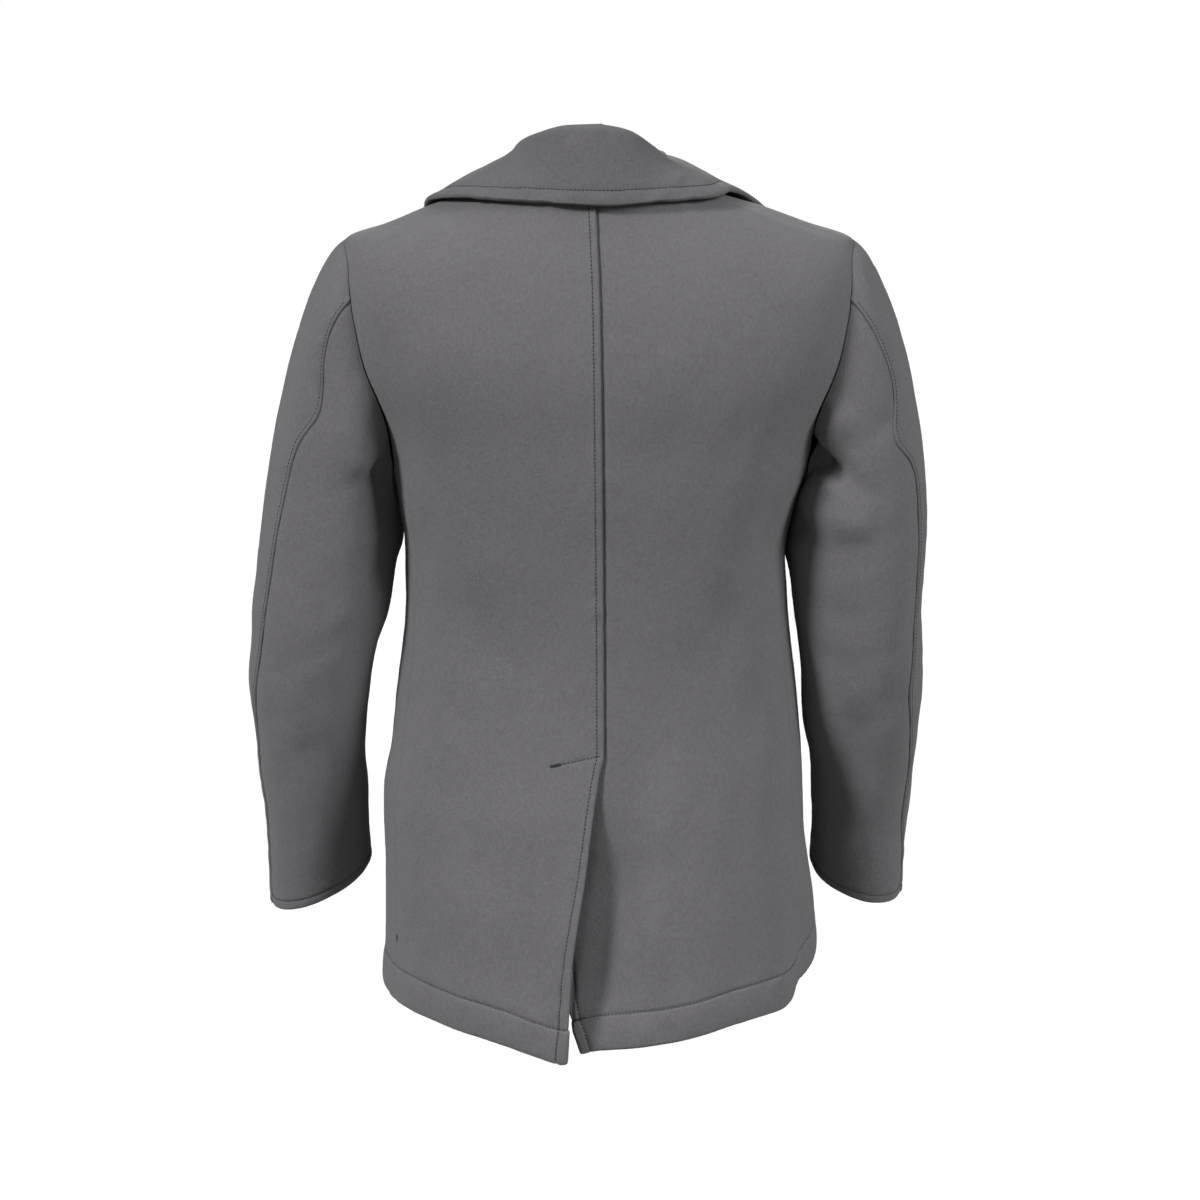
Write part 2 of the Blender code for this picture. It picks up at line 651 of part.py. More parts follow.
LAPEL_FOOT = -325         # height at which the roll line leaves the front edge
GORGE_TOP = -5            # height at which collar, lapel and roll line meet
NOTCH = (106, -70)        # X and height of the inner corner between collar and lapel
LAPEL_TIP = (146, -122)
LAPEL_BELLY = 16          # how far the outer edge bows out
LAPEL_AIR = 1.8           # air under the lapel
ROLL_AIR = 0.9            # air at the roll line, where it turns back from the front
GORGE_AIR = 2.4           # extra air under the top of the lapel, where the neck flares
LAPEL_ROLL = 4.0
LAPEL_TUCK = 3            # air between the right lapel and the left front's roll
CROSSING = -129           # height at which the two roll lines cross
LAPEL_STARTS = {"left": 0.04, "right": 0.35}    # share of the way up, where each lapel starts
CROSSING_MARGIN = 8
LAPEL_ROWS = 12
LAPEL_COLUMNS = 9


def lapel_sheet(lowest, edge):
    """X and height of a turned-back lapel, from its foot up to the gorge and tip."""
    up = np.linspace(lowest, 1, LAPEL_ROWS)[:, None]
    share = np.linspace(0, 1, LAPEL_COLUMNS)[None, :]
    foot_x = -FRONT_EDGE.read(edge, LAPEL_FOOT)
    gorge_x = -FRONT_EDGE.read(edge, GORGE_TOP)
    head_x = np.interp(share, [0, 0.5, 1], [gorge_x, NOTCH[0], LAPEL_TIP[0]])
    head_z = np.interp(share, [0, 0.5, 1], [GORGE_TOP, NOTCH[1], LAPEL_TIP[1]])
    belly = LAPEL_BELLY * np.sin(np.pi * up) * share
    z = LAPEL_FOOT + (head_z - LAPEL_FOOT) * up - belly / 2
    roll_z = LAPEL_FOOT + (GORGE_TOP - LAPEL_FOOT) * up
    roll_bow = -FRONT_EDGE.read(edge, roll_z) - (foot_x + (gorge_x - foot_x) * up)
    x = foot_x + (head_x - foot_x) * up + belly + roll_bow * (1 - share)
    air = ROLL_AIR + (LAPEL_AIR - ROLL_AIR) * ease(4 * share) + GORGE_AIR * ease((up - 0.75) / 0.2)
    return x, z, DOUBLED + air + LAPEL_ROLL * np.sin(np.pi * share ** 0.6) * up


def build_lapels(material, collection):
    """The left lapel is whole; the right one ends where the left front covers it."""
    for edge, side in (("left", 1), ("right", -1)):
        x, z, lift = lapel_sheet(LAPEL_STARTS[edge], edge)
        if side < 0:
            cover = FRONT_EDGE.read("left", z) + LAPEL_TUCK
            x = np.where(z < CROSSING + CROSSING_MARGIN, np.maximum(x, cover), x)
        angle = front_angle(side * x, z, side)
        points = on_body(angle, z, lift)
        normal = outward(plain_skin, angle, z)
        wall("lapel_" + edge, points, normal, DOUBLED, material, collection)


# -------------------------------------------------------------------- buttons
BUTTONS = [               # X and height of each row's buttons, from the top down
    (98, -262),
    (75, -350),
    (75, -438),
    (75, -526),
]


def build_buttons(material, collection):
    """Plain round buttons with a sunk middle, lying on the fronts."""
    for row, (x, height) in enumerate(BUTTONS, 1):
        for side_name, side in (("left", 1), ("right", -1)):
            angle = front_angle(side * x, height, side)
            normal = outward(plain_skin, angle, np.float64(height))
            place = plain_skin(angle, np.float64(height)) + normal * BUTTON_AIR
            mesh = bpy.data.meshes.new("button")
            work = bmesh.new()
            rim = [work.verts.new((across * BUTTON_RADIUS * MM, 0, up * BUTTON_THICKNESS * MM))
                   for across, up in BUTTON_PROFILE]
            edges = [work.edges.new(pair) for pair in zip(rim, rim[1:])]
            bmesh.ops.spin(work, geom=rim + edges, cent=(0, 0, 0), axis=(0, 0, 1),
                           angle=2 * np.pi, steps=BUTTON_SIDES, use_merge=True)
            bmesh.ops.remove_doubles(work, verts=work.verts, dist=0.00001)
            work.to_mesh(mesh)
            work.free()
            button = finish_mesh(f"button_{row}_{side_name}", mesh, material, collection)
            button.location = [value * MM for value in place]
            button.rotation_mode = "QUATERNION"
            button.rotation_quaternion = Vector(normal).to_track_quat("Z", "X")


def main():
    for thing in list(bpy.data.objects):
        bpy.data.objects.remove(thing)
    collection = bpy.data.collections.new("pea_coat")
    bpy.context.scene.collection.children.link(collection)
    melton = cloth_material("grey_melton", (0.155, 0.150, 0.157))
    horn = cloth_material("dark_horn", (0.05, 0.05, 0.055), 0.4)
    build_backs(melton, collection)
    build_fronts(melton, collection)
    build_sleeves(melton, collection)
    build_collar(melton, collection)
    build_lapels(melton, collection)
    build_buttons(horn, collection)


main()
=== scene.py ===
"""Pea coat of heavy grey melton in its worn shape: cloth, sewing, buttons and stage.

Lengths are millimetres and angles degrees until a mesh is made, which is in metres.
+X is the wearer's left, +Y the back, +Z up, and the origin is the middle of the neck
opening. Round the body an angle of 0 is the centre back, 90 the left side and 180 the
centre front. Round a sleeve 0 is the outer side, 90 the back, 180 the inner side.
"""

import bpy
import numpy as np
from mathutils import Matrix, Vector


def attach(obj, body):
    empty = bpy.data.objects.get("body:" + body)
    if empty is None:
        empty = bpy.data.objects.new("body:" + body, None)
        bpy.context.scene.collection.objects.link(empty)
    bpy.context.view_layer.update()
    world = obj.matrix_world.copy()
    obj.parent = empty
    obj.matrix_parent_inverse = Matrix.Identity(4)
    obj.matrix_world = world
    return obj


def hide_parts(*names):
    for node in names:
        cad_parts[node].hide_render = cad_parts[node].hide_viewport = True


bl_info = {
    "name": "Pea Coat Maker",
    "version": (1, 0, 0),
    "blender": (4, 5, 0),
    "location": "View3D > Sidebar > Coat",
    "description": "Makes a worn double-breasted melton coat around its solid frame",
    "category": "Add Mesh",
}

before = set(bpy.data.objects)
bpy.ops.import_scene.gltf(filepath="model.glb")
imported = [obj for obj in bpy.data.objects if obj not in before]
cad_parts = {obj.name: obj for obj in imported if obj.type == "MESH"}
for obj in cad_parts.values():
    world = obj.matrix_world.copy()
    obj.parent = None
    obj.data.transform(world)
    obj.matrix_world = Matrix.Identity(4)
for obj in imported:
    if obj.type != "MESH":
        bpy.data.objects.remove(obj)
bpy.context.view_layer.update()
MM = 0.001
UP = np.array([0, 0, 1.0])
SIDES = (("left", 1), ("right", -1))

# ---------- cut and form
CLOTH = 2.6               # one layer
DOUBLED = 4.2             # two pressed layers: collar and lapels
SEAM_GAP = 0.3
SEAT_AIR = 0.2
LAP_AIR = 1.9             # between the two fronts
SHOULDER_TIP = -64
UNDERARM = -262
HEM = -746
VENT_TOP = -497
LAP_WIDTH = 5.5           # of the raised strip down the centre back
LAP_SLOPE = 4
LAP_RAISE = 1.4
LAP_DIP = 5               # how far beside the seam the lower layer dips
VENT_REACH = 72           # how far from the flap's edge the lower layer sinks
VENT_FLOOR = 26           # and how far it stays at its full depth
FLAP_REACH = 42           # how far from its edge the flap stands off
COVER_REACH = 20          # how far past the left front's edge the right one sinks
COVER_SLOPE = 15
MM_PER_DEGREE = 2.9       # round the body, for the folds
MM_PER_ARM_DEGREE = 1.0   # and round a sleeve


def monotone_cubic(at, keys, values):
    """Cubic through (keys, values) that never overshoots; flat past both ends."""
    at = np.clip(np.asarray(at, float), keys[0], keys[-1])
    steps = np.diff(keys)
    rises = np.diff(values) / steps
    slopes = np.empty(len(keys))
    slopes[0], slopes[-1] = rises[0], rises[-1]
    before, after = rises[:-1], rises[1:]
    weight_before = 2 * steps[1:] + steps[:-1]
    weight_after = steps[1:] + 2 * steps[:-1]
    same_way = before * after > 0
    safe_before = np.where(same_way, before, 1.0)
    safe_after = np.where(same_way, after, 1.0)
    mean = (weight_before + weight_after) / (weight_before / safe_before + weight_after / safe_after)
    slopes[1:-1] = np.where(same_way, mean, 0.0)
    k = np.clip(np.searchsorted(keys, at, side="right") - 1, 0, len(keys) - 2)
    u = (at - keys[k]) / steps[k]
    return ((1 + 2 * u) * (1 - u) ** 2 * values[k] + u * (1 - u) ** 2 * steps[k] * slopes[k]
            + u * u * (3 - 2 * u) * values[k + 1] + u * u * (u - 1) * steps[k] * slopes[k + 1])


class Table:
    """Rows of numbers with named columns, read smoothly along the first column."""

    def __init__(self, names, rows):
        ordered = np.array(sorted(rows), float)
        self.keys = ordered[:, 0]
        self.columns = dict(zip(names.split()[1:], ordered[:, 1:].T))

    def read(self, name, at):
        return monotone_cubic(at, self.keys, self.columns[name])


def ease(value):
    """0 below 0, 1 above 1, and the smooth step 3v^2 - 2v^3 between."""
    value = np.clip(value, 0.0, 1.0)
    return value * value * (3 - 2 * value)


def unit(vectors):
    """The same vectors at length 1."""
    return vectors / np.maximum(np.linalg.norm(vectors, axis=-1, keepdims=True), 1e-9)


def stack(x, y, z):
    """Points from their three coordinates, stretched to one shape."""
    return np.stack(np.broadcast_arrays(x, y, z), axis=-1)


def bell(distance, width):
    """1 at distance 0, and e to the power of -(distance / width)^2 beside it."""
    return np.exp(-(distance / width) ** 2)


def wrapped(angle):
    """The same angle between -180 and 180."""
    return (angle + 180) % 360 - 180


def nearest(values, wanted):
    """Index of the value nearest to the wanted one."""
    return int(np.argmin(np.abs(np.asarray(values) - wanted)))


def run_along(points):
    """Length run along a line of points, from its first."""
    return np.concatenate([[0], np.cumsum(np.linalg.norm(np.diff(points, axis=0), axis=1))])


def read_line(at, run, points):
    """Points of a line at the wanted running lengths."""
    return np.stack([np.interp(at, run, points[:, k]) for k in range(3)], -1)


BODY = Table("height left right back front square", [
    (-800, 204, 202, 149, 156, 2.4),
    (-746, 203, 202, 147, 155, 2.4),
    (-680, 199, 198, 140, 153, 2.4),
    (-640, 199, 192, 136, 151, 2.4),
    (-600, 199, 187, 131, 150, 2.35),
    (-560, 198, 184, 126, 148, 2.35),
    (-520, 191, 182, 120, 145, 2.35),
    (-446, 183, 174, 112, 142, 2.35),
    (-371, 175, 166, 110, 141, 2.35),
    (-340, 175, 164, 112, 142, 2.35),
    (-300, 178, 171, 115, 144, 2.35),
    (-262, 184, 183, 118, 146, 2.35),
    (-248, 186, 186, 119, 146, 2.35),
    (-228, 192, 192, 120, 146, 2.35),
    (-211, 200, 200, 121, 144, 2.35),
    (-190, 212, 212, 122, 142, 2.35),
    (-175, 220, 220, 122, 140, 2.35),
    (-152, 226, 226, 121, 136, 2.35),
    (-112, 231, 231, 114, 124, 2.28),
    (-98, 231, 231, 110, 119, 2.25),
    (-82, 229, 227, 104, 111, 2.15),
    (-73, 225, 222, 101, 106, 2.1),
    (-64, 221, 217, 97, 101, 2.1),
    (-52, 188, 182, 91, 93, 2.05),
    (-38, 155, 144, 86, 85, 2.0),
    (-27, 126, 107, 82, 79, 2.0),
    (-14, 95, 76, 78, 72, 2.0),
    (0, 71, 51, 70, 62, 2.0),
])
SIDE_SEAM = Table("height angle", [
    (-800, 66), (-600, 67), (-430, 70), (-310, 76), (UNDERARM, 80),
])
ARMHOLE = Table("height back front", [
    (UNDERARM, 80, 80),
    (-259, 79, 85),
    (-250, 77.6, 95),
    (-238, 74.4, 104),
    (-228, 71.2, 110),
    (-211, 66.9, 116.5),
    (-190, 63.7, 120),
    (-175, 63.3, 120.5),
    (-152, 64, 120),
    (-112, 65.9, 116),
    (-98, 67.4, 113),
    (-82, 70.8, 108),
    (-73, 77.2, 103),
    (-68, 82, 97),
    (SHOULDER_TIP, 90, 90),
])
CENTRE_BACK = Table("height seam under", [
    (-800, 31, 12),
    (-764, 30, 20),
    (-737, 28, 28),
    (-695, 26, 34),
    (-600, 13, 41),
    (-583, 11, 41),
    (-530, 4, 40),
    (-515, 1.5, 38),
    (VENT_TOP, -2, 5),
    (-300, -1, 6),
    (-116, 1, 8),
    (0, 6, 13),
])
VENT = Table("height recess flap", [
    (-800, 11, 2.5),
    (-760, 13, 3.5),
    (-700, 18, 5),
    (-620, 16, 4),
    (-575, 9, 2),
    (-530, 2.5, 0.5),
    (VENT_TOP, 0.5, 0),
    (-470, 0, 0),
])
FRONT_EDGE = Table("height left right", [
    (-830, 97, 97),
    (-345, 97, 97),
    (-325, 94, 94),
    (-165, 17, 17),
    (0, -62, -45),
])
HEM_DROP = Table("angle drop", [
    (-180, -6), (-120, 6), (-90, 29), (-74, 17), (-60, 6), (-33, 1), (-15, -8), (-7, -12), (0, -19),
    (7, -26), (13, -21), (21, -13), (31, -7), (42, -4), (60, 0), (100, 0), (180, -6),
])
HEM_DROP_STARTS = -600
HEM_DROP_WHOLE = -700     # the lowest rows all follow the edge, so the hem band keeps its width
VENT_ANGLE = 7

# A fold's name, its angle, height and depth at one end and at the other, its half width.
BODY_FOLDS = [
    ("left skirt", 48, -600, -1, 44, -790, -4, 24),
    ("right hollow", -70, -650, 0, -67, -800, -19, 30),
    ("right skirt", -40, -560, -1, -36, -780, -3, 26),
    ("left waist", 60, -330, -3, 30, -410, -2, 28),
    ("right waist", -60, -330, -3, -28, -420, -3, 30),
    ("left blade", 50, -200, 1, 36, -330, 3, 34),
    ("right blade", -50, -200, 1, -36, -330, 3, 34),
    ("left front", 125, -560, -1, 128, -780, -4, 28),
    ("right front", -125, -560, -1, -128, -780, -4, 28),
]
BODY_CREASES = [          # narrower ones that only the cloth has
    ("left waist hollow", 56, -425, -5.5, 38, -440, -3.5, 64),
    ("right waist hollow", -24, -480, -3.5, -36, -470, -3.5, 46),
    ("left blade dip", 52, -300, -1.6, 40, -372, -0.6, 15),
    ("right blade dip", -54, -296, -1.8, -40, -370, -0.6, 16),
    ("left waist drag", 64, -470, -1.5, 40, -560, -0.4, 17),
    ("left waist ridge", 58, -440, 1.1, 34, -520, 0.3, 12),
    ("right waist drag", -16, -590, -1.3, -34, -500, -0.4, 15),
    ("right side tuck", -68, -600, -1.0, -70, -745, -1.5, 6),
    ("left side tuck", 71, -640, -0.6, 74, -742, -1.4, 7),
    ("yoke left", 24, -96, -0.7, 44, -150, -0.3, 13),
    ("yoke right", -26, -92, -0.7, -46, -150, -0.3, 13),
    ("seat left", 20, -560, 0.7, 26, -720, 1.3, 20),
    ("seat right", -22, -620, 0.5, -20, -730, 1.4, 20),
    ("left front waist", 112, -330, -1.6, 134, -440, -0.6, 16),
    ("right front waist", -112, -336, -1.7, -134, -430, -0.5, 15),
    ("left front skirt", 108, -520, 0.8, 112, -730, 2.0, 17),
    ("right front skirt", -110, -540, 0.7, -114, -730, 1.8, 19),
    ("left front drag", 100, -470, -1.0, 126, -520, -0.3, 12),
    ("right front drag", -101, -455, -1.1, -124, -512, -0.3, 12),
    ("under layer crease", -4, -590, -0.5, -8, -735, -1.4, 4),
    ("under layer ridge", -9, -600, 0.6, -12.5, -735, 1.2, 4),
]


def half_width(across, height):
    """The ring's half width on the side that across lies on."""
    return np.where(across >= 0, BODY.read("left", height), BODY.read("right", height))


def ring_depth(along, height):
    """The ring's depth, back or front, on the side that along lies on."""
    return np.where(along >= 0, BODY.read("back", height), BODY.read("front", height))


EVENED_OVER = np.array([(-18, 1), (-12, 2), (-6, 3), (0, 3), (6, 3), (12, 2), (18, 1)])
EVENED_INSIDE = 60        # from the ring's widest point inwards
CREST_KEPT = 12           # how far front and back the shoulder's edge stays crisp
CREST_FADE = 40


def oval(angle, height):
    """Point of the body's ring: a superellipse of the row's half widths and depths,
    |x/half|^square + |y/depth|^square = 1, with its own halves to each side. Away from
    the widest points Y is its weighted mean over near heights at the same X, so that
    no row of the table shows as a band; further out X is its mean at the same Y, but
    not close to the shoulder's tip."""
    turn = np.radians(angle)
    across, along = np.sin(turn), np.cos(turn)
    power = 2 / BODY.read("square", height)
    half = half_width(across, height)
    x = half * np.sign(across) * np.abs(across) ** power
    y = ring_depth(along, height) * np.sign(along) * np.abs(along) ** power
    mean_x, mean_y, narrowest = 0.0, 0.0, half
    for step, weight in EVENED_OVER / (1, EVENED_OVER[:, 1].sum()):
        near = height + step
        square = BODY.read("square", near)
        near_half, near_depth = half_width(across, near), ring_depth(along, near)
        narrowest = np.minimum(narrowest, near_half)
        share = np.clip(np.abs(x) / near_half, 0, 1)
        mean_y = mean_y + weight * near_depth * (1 - share ** square) ** (1 / square)
        share = np.clip(np.abs(y) / near_depth, 0, 1)
        mean_x = mean_x + weight * near_half * (1 - share ** square) ** (1 / square)
    inside = ease((narrowest - np.abs(x)) / EVENED_INSIDE)
    aside = (1 - inside) * ease((np.abs(y) - CREST_KEPT) / CREST_FADE)
    return stack(x + (np.sign(across) * mean_x - x) * aside,
                 y + (np.sign(along) * mean_y - y) * inside, height)


SLOPE_TURN = 0.4          # steps to each side over which a slope is taken
SLOPE_RISE = 1.5


def outward(skin, angle, height):
    """Unit vectors square to a skin of the body: the cross product of its two slopes."""
    across = skin(angle + SLOPE_TURN, height) - skin(angle - SLOPE_TURN, height)
    up = skin(angle, height + SLOPE_RISE) - skin(angle, height - SLOPE_RISE)
    return unit(np.cross(up, across))


def above(skin, angle, height, lift):
    """Points of a skin, moved out from it by a lift."""
    return skin(angle, height) + outward(skin, angle, height) * np.asarray(lift)[..., None]


def back_angle(x, height):
    """Angle on the back half of the ring at which it reaches the given X."""
    share = np.clip(np.abs(x) / half_width(x, height), 0, 1) ** (BODY.read("square", height) / 2)
    return np.sign(x) * np.degrees(np.arcsin(share))


def front_angle(x, height, side):
    """Angle on the front half at the given X, counted the way that side's panel runs."""
    return side * (180 - side * back_angle(x, height))


def soft_folds(folds, angle, height, mm_per_degree):
    """Sum of the folds, each a bell exp(-(distance / half width)^2) round its line,
    whose height runs evenly from its first depth to its last."""
    lift = np.zeros(np.broadcast(angle, height).shape)
    for _name, angle_a, height_a, depth_a, angle_b, height_b, depth_b, width in folds:
        run = np.array([(angle_b - angle_a) * mm_per_degree, height_b - height_a])
        across = (angle - angle_a) * mm_per_degree
        down = height - height_a
        place = np.clip((across * run[0] + down * run[1]) / (run @ run), 0, 1)
        away = np.hypot(across - place * run[0], down - place * run[1])
        lift = lift + (depth_a + (depth_b - depth_a) * place) * bell(away, width)
    return lift


WAVER = ((95, 0.35), (48, 0.22), (21, 0.10))      # wavelengths and heights
GATHERS = ((27, 1.0), (15, 0.7))
WAVES_TOGETHER = 1.7      # about how high three waves of one length reach together
BODY_SEED, SLEEVE_SEED, COLLAR_SEED = 11, 31, 61


def crease_depth():
    """The panel's setting for how deep the small creases are."""
    return bpy.context.scene.coat_sizes.crease_depth


def unevenness(across, down, seed, waves=WAVER):
    """Slow waver of hand-pressed cloth: for each wavelength, three sine waves in seeded
    directions and phases, added with that amplitude."""
    rng = np.random.default_rng(seed)
    total = 0.0
    for length, height in waves:
        for turn, phase in zip(rng.uniform(0, np.pi, 3), rng.uniform(0, 2 * np.pi, 3)):
            along = across * np.cos(turn) + down * np.sin(turn)
            total = total + height * np.sin(2 * np.pi * along / length + phase) / WAVES_TOGETHER
    return total


def body_lift(angle, height):
    """All folds, creases and waver of the body cloth."""
    return (soft_folds(BODY_FOLDS, angle, height, MM_PER_DEGREE)
            + crease_depth() * soft_folds(BODY_CREASES, angle, height, MM_PER_DEGREE)
            + crease_depth() * unevenness(wrapped(angle) * MM_PER_DEGREE, height, BODY_SEED))


def plain_skin(angle, height):
    """The body's outer face where no other layer shapes it."""
    return above(oval, angle, height, body_lift(angle, height))


def back_left_skin(angle, height):
    """The upper layer: a raised strip runs down its centre edge to the hem, and below
    the vent's top the edge stands off as a flap."""
    inside = oval(angle, height)[..., 0] - CENTRE_BACK.read("seam", height)
    strip = LAP_RAISE * (1 - ease((inside - LAP_WIDTH) / LAP_SLOPE))
    flap = VENT.read("flap", height) * (1 - ease(inside / FLAP_REACH))
    return above(oval, angle, height, body_lift(angle, height) + strip + flap)


def back_right_skin(angle, height):
    """The lower layer: it dips under the strip, and deeper below the vent."""
    past = oval(angle, height)[..., 0] - CENTRE_BACK.read("seam", height)
    lap = (CLOTH + SEAM_GAP + SEAT_AIR - LAP_RAISE) * ease((past + LAP_DIP) / LAP_SLOPE)
    lap = lap + LAP_RAISE * ease((past - LAP_DIP) / LAP_SLOPE)
    vent = VENT.read("recess", height) * ease((past + VENT_REACH) / (VENT_REACH - VENT_FLOOR))
    return above(oval, angle, height, body_lift(angle, height) - lap - vent)


def front_right_skin(angle, height):
    """The lower front: it sinks by one layer where the left front covers it."""
    past = oval(angle, height)[..., 0] + FRONT_EDGE.read("left", height)
    cover = (CLOTH + LAP_AIR) * ease((past + COVER_REACH) / COVER_SLOPE)
    return above(oval, angle, height, body_lift(angle, height) - cover)


# ---------- mesh making
def add_mesh(name, points, faces, material, uv=None):
    """Mesh object from points in millimetres and rows of quads (a repeated last
    corner makes a triangle); turned right way out by its signed volume."""
    points = np.asarray(points, float).reshape(-1, 3) * MM
    faces = np.asarray(faces)
    corners = points[faces]
    volume = np.einsum("ij,ij->i", corners[:, 0], np.cross(corners[:, 1], corners[:, 2])).sum()
    volume += np.einsum("ij,ij->i", corners[:, 0], np.cross(corners[:, 2], corners[:, 3])).sum()
    if volume < 0:
        faces = faces[:, ::-1]
    triangle = (faces[:, 0] == faces[:, 3]) | (faces[:, 2] == faces[:, 3])
    sizes = np.where(triangle, 3, 4)
    keep = np.ones(faces.shape, bool)
    keep[triangle, 3] = False
    loops = faces[keep]
    mesh = bpy.data.meshes.new(name)
    mesh.vertices.add(len(points))
    mesh.vertices.foreach_set("co", points.astype(np.float32).ravel())
    mesh.loops.add(len(loops))
    mesh.loops.foreach_set("vertex_index", loops.astype(np.int32))
    mesh.polygons.add(len(faces))
    starts = np.concatenate([[0], np.cumsum(sizes)[:-1]])
    mesh.polygons.foreach_set("loop_start", starts.astype(np.int32))
    mesh.update(calc_edges=True)
    if uv is not None:
        cut = (np.asarray(uv, float).reshape(-1, 2) * MM)[loops]
        mesh.uv_layers.new(name="Cut").data.foreach_set("uv", cut.astype(np.float32).ravel())
    mesh.validate()
    mesh.shade_smooth()
    mesh.materials.append(material)
    thing = bpy.data.objects.new(name, mesh)
    bpy.context.scene.collection.objects.link(thing)
    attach(thing, "root")
    return thing


def grid_quads(rows, columns):
    """The quads between the points of a grid."""
    index = np.arange(rows * columns).reshape(rows, columns)
    return np.stack([index[:-1, :-1], index[:-1, 1:], index[1:, 1:], index[1:, :-1]], -1).reshape(-1, 4)


def ring_quads(rings, sides):
    """The quads between closed rings of points."""
    index = np.arange(rings * sides).reshape(rings, sides)
    after = np.roll(index, -1, axis=1)
    return np.stack([index[:-1], after[:-1], after[1:], index[1:]], -1).reshape(-1, 4)


SEWN_RIM = 0.2            # how far a sewn edge rounds out, as a share of a free one
SEWN_INSET = 0.18         # the room that its rim takes
FREE_INSET = 1.15
RIM_TURNS = np.pi * np.array([0.25, 0.5, 0.75])


def shell(name, outer, inner, material, uv, seams=()):
    """Closed wall between two grids, its rim a half round: middle + cos(t) * half
    thickness + sin(t) * half thickness * outward along the cloth, t from 0 to pi.
    The sides named as seams are nearly flat, so that two of them meet closely."""
    rows, columns = outer.shape[:2]
    count = rows * columns
    index = np.arange(count).reshape(rows, columns)
    rim = np.concatenate([index[0, :-1], index[:-1, -1], index[-1, :0:-1], index[:0:-1, 0]])
    away = np.zeros_like(outer)
    fullness = np.ones((rows, columns, 1))
    for side, line, near in (("first_row", np.s_[0], np.s_[2]), ("last_row", np.s_[-1], np.s_[-3]),
                             ("first_column", np.s_[:, 0], np.s_[:, 2]),
                             ("last_column", np.s_[:, -1], np.s_[:, -3])):
        away[line] += unit(outer[line] - outer[near])
        if side in seams:
            fullness[line] = SEWN_RIM
    away = (unit(away) * fullness).reshape(-1, 3)[rim]
    high, low = outer.reshape(-1, 3)[rim], inner.reshape(-1, 3)[rim]
    middle, half = (high + low) / 2, (high - low) / 2
    depth = np.linalg.norm(half, axis=1, keepdims=True)
    rings = [middle + np.cos(t) * half + np.sin(t) * depth * away for t in RIM_TURNS]
    points = np.concatenate([outer.reshape(-1, 3), inner.reshape(-1, 3)] + rings)
    after = np.roll(np.arange(len(rim)), -1)
    between = [2 * count + k * len(rim) + np.arange(len(rim)) for k in range(len(rings))]
    chain = [rim] + between + [rim + count]
    sides = [np.stack([a, b, b[after], a[after]], -1) for a, b in zip(chain, chain[1:])]
    quads = grid_quads(rows, columns)
    flat = uv.reshape(-1, 2)
    return add_mesh(name, points, np.concatenate([quads, quads[:, ::-1] + count] + sides), material,
                    np.concatenate([flat, flat] + [flat[rim]] * len(rings)))


def lengths(points, axis):
    """Length run along a grid's rows or columns, from its first point."""
    steps = np.linalg.norm(np.diff(points, axis=axis), axis=-1)
    pad = [(0, 0), (0, 0)]
    pad[axis] = (1, 0)
    return np.pad(np.cumsum(steps, axis=axis), pad)


def declare(outer, node):
    """Hides the solid part that a cloth piece stands for, and works out the piece's area, width and
    length, which nothing uses.
    """
    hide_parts(node)
    one = outer[1:, 1:] - outer[:-1, :-1]
    two = outer[1:, :-1] - outer[:-1, 1:]
    area = np.linalg.norm(np.cross(one, two), axis=-1).sum() / 2
    width, length = lengths(outer, 1)[:, -1].max(), lengths(outer, 0)[-1].max()
    area = min(area, width * length)


# ---------- sewing
SEWN = {}                 # stitches waiting to be made, by the piece they lie on
STITCH_SHARE = 0.72       # of the pitch
STITCH_RADIUS = 0.42
STITCH_SINK = 0.1
TACK_PITCH = 0.75
TACK_RADIUS = 0.5
TACK_LIFT = 0.35


def note(group, centre, along, up, half, radius):
    """Keeps stitches for later: their middles, directions, half lengths and radius."""
    SEWN.setdefault(group, []).append((centre, along, up, half, radius))


def sew(group, points, normals, pitch=None, length=STITCH_SHARE, radius=STITCH_RADIUS, sink=STITCH_SINK):
    """Stitches along a line: centres at an even pitch, each as long as a share of it,
    lying along the line and sunk a little into the cloth."""
    pitch = pitch or bpy.context.scene.coat_sizes.stitch_pitch / MM
    points = np.asarray(points, float)
    run = run_along(points)
    at = np.arange(pitch / 2, run[-1], pitch)
    up = unit(read_line(at, run, normals))
    ahead = read_line(at + 0.5, run, points) - read_line(at - 0.5, run, points)
    along = unit(ahead - up * np.sum(ahead * up, -1, keepdims=True))
    centre = read_line(at, run, points) + up * (radius - sink)
    note(group, centre, along, up, np.full(len(at), pitch * length / 2), radius)


def bar_tack(group, centre, along, up, length, width):
    """A short dense bar: stitches side by side across its length."""
    shift = np.linspace(-length / 2, length / 2, int(length / TACK_PITCH))[:, None]
    up = np.repeat(up[None, :], len(shift), 0)
    note(group, centre + shift * along + up * TACK_LIFT, unit(np.cross(up, along)), up,
         np.full(len(shift), width / 2), TACK_RADIUS)


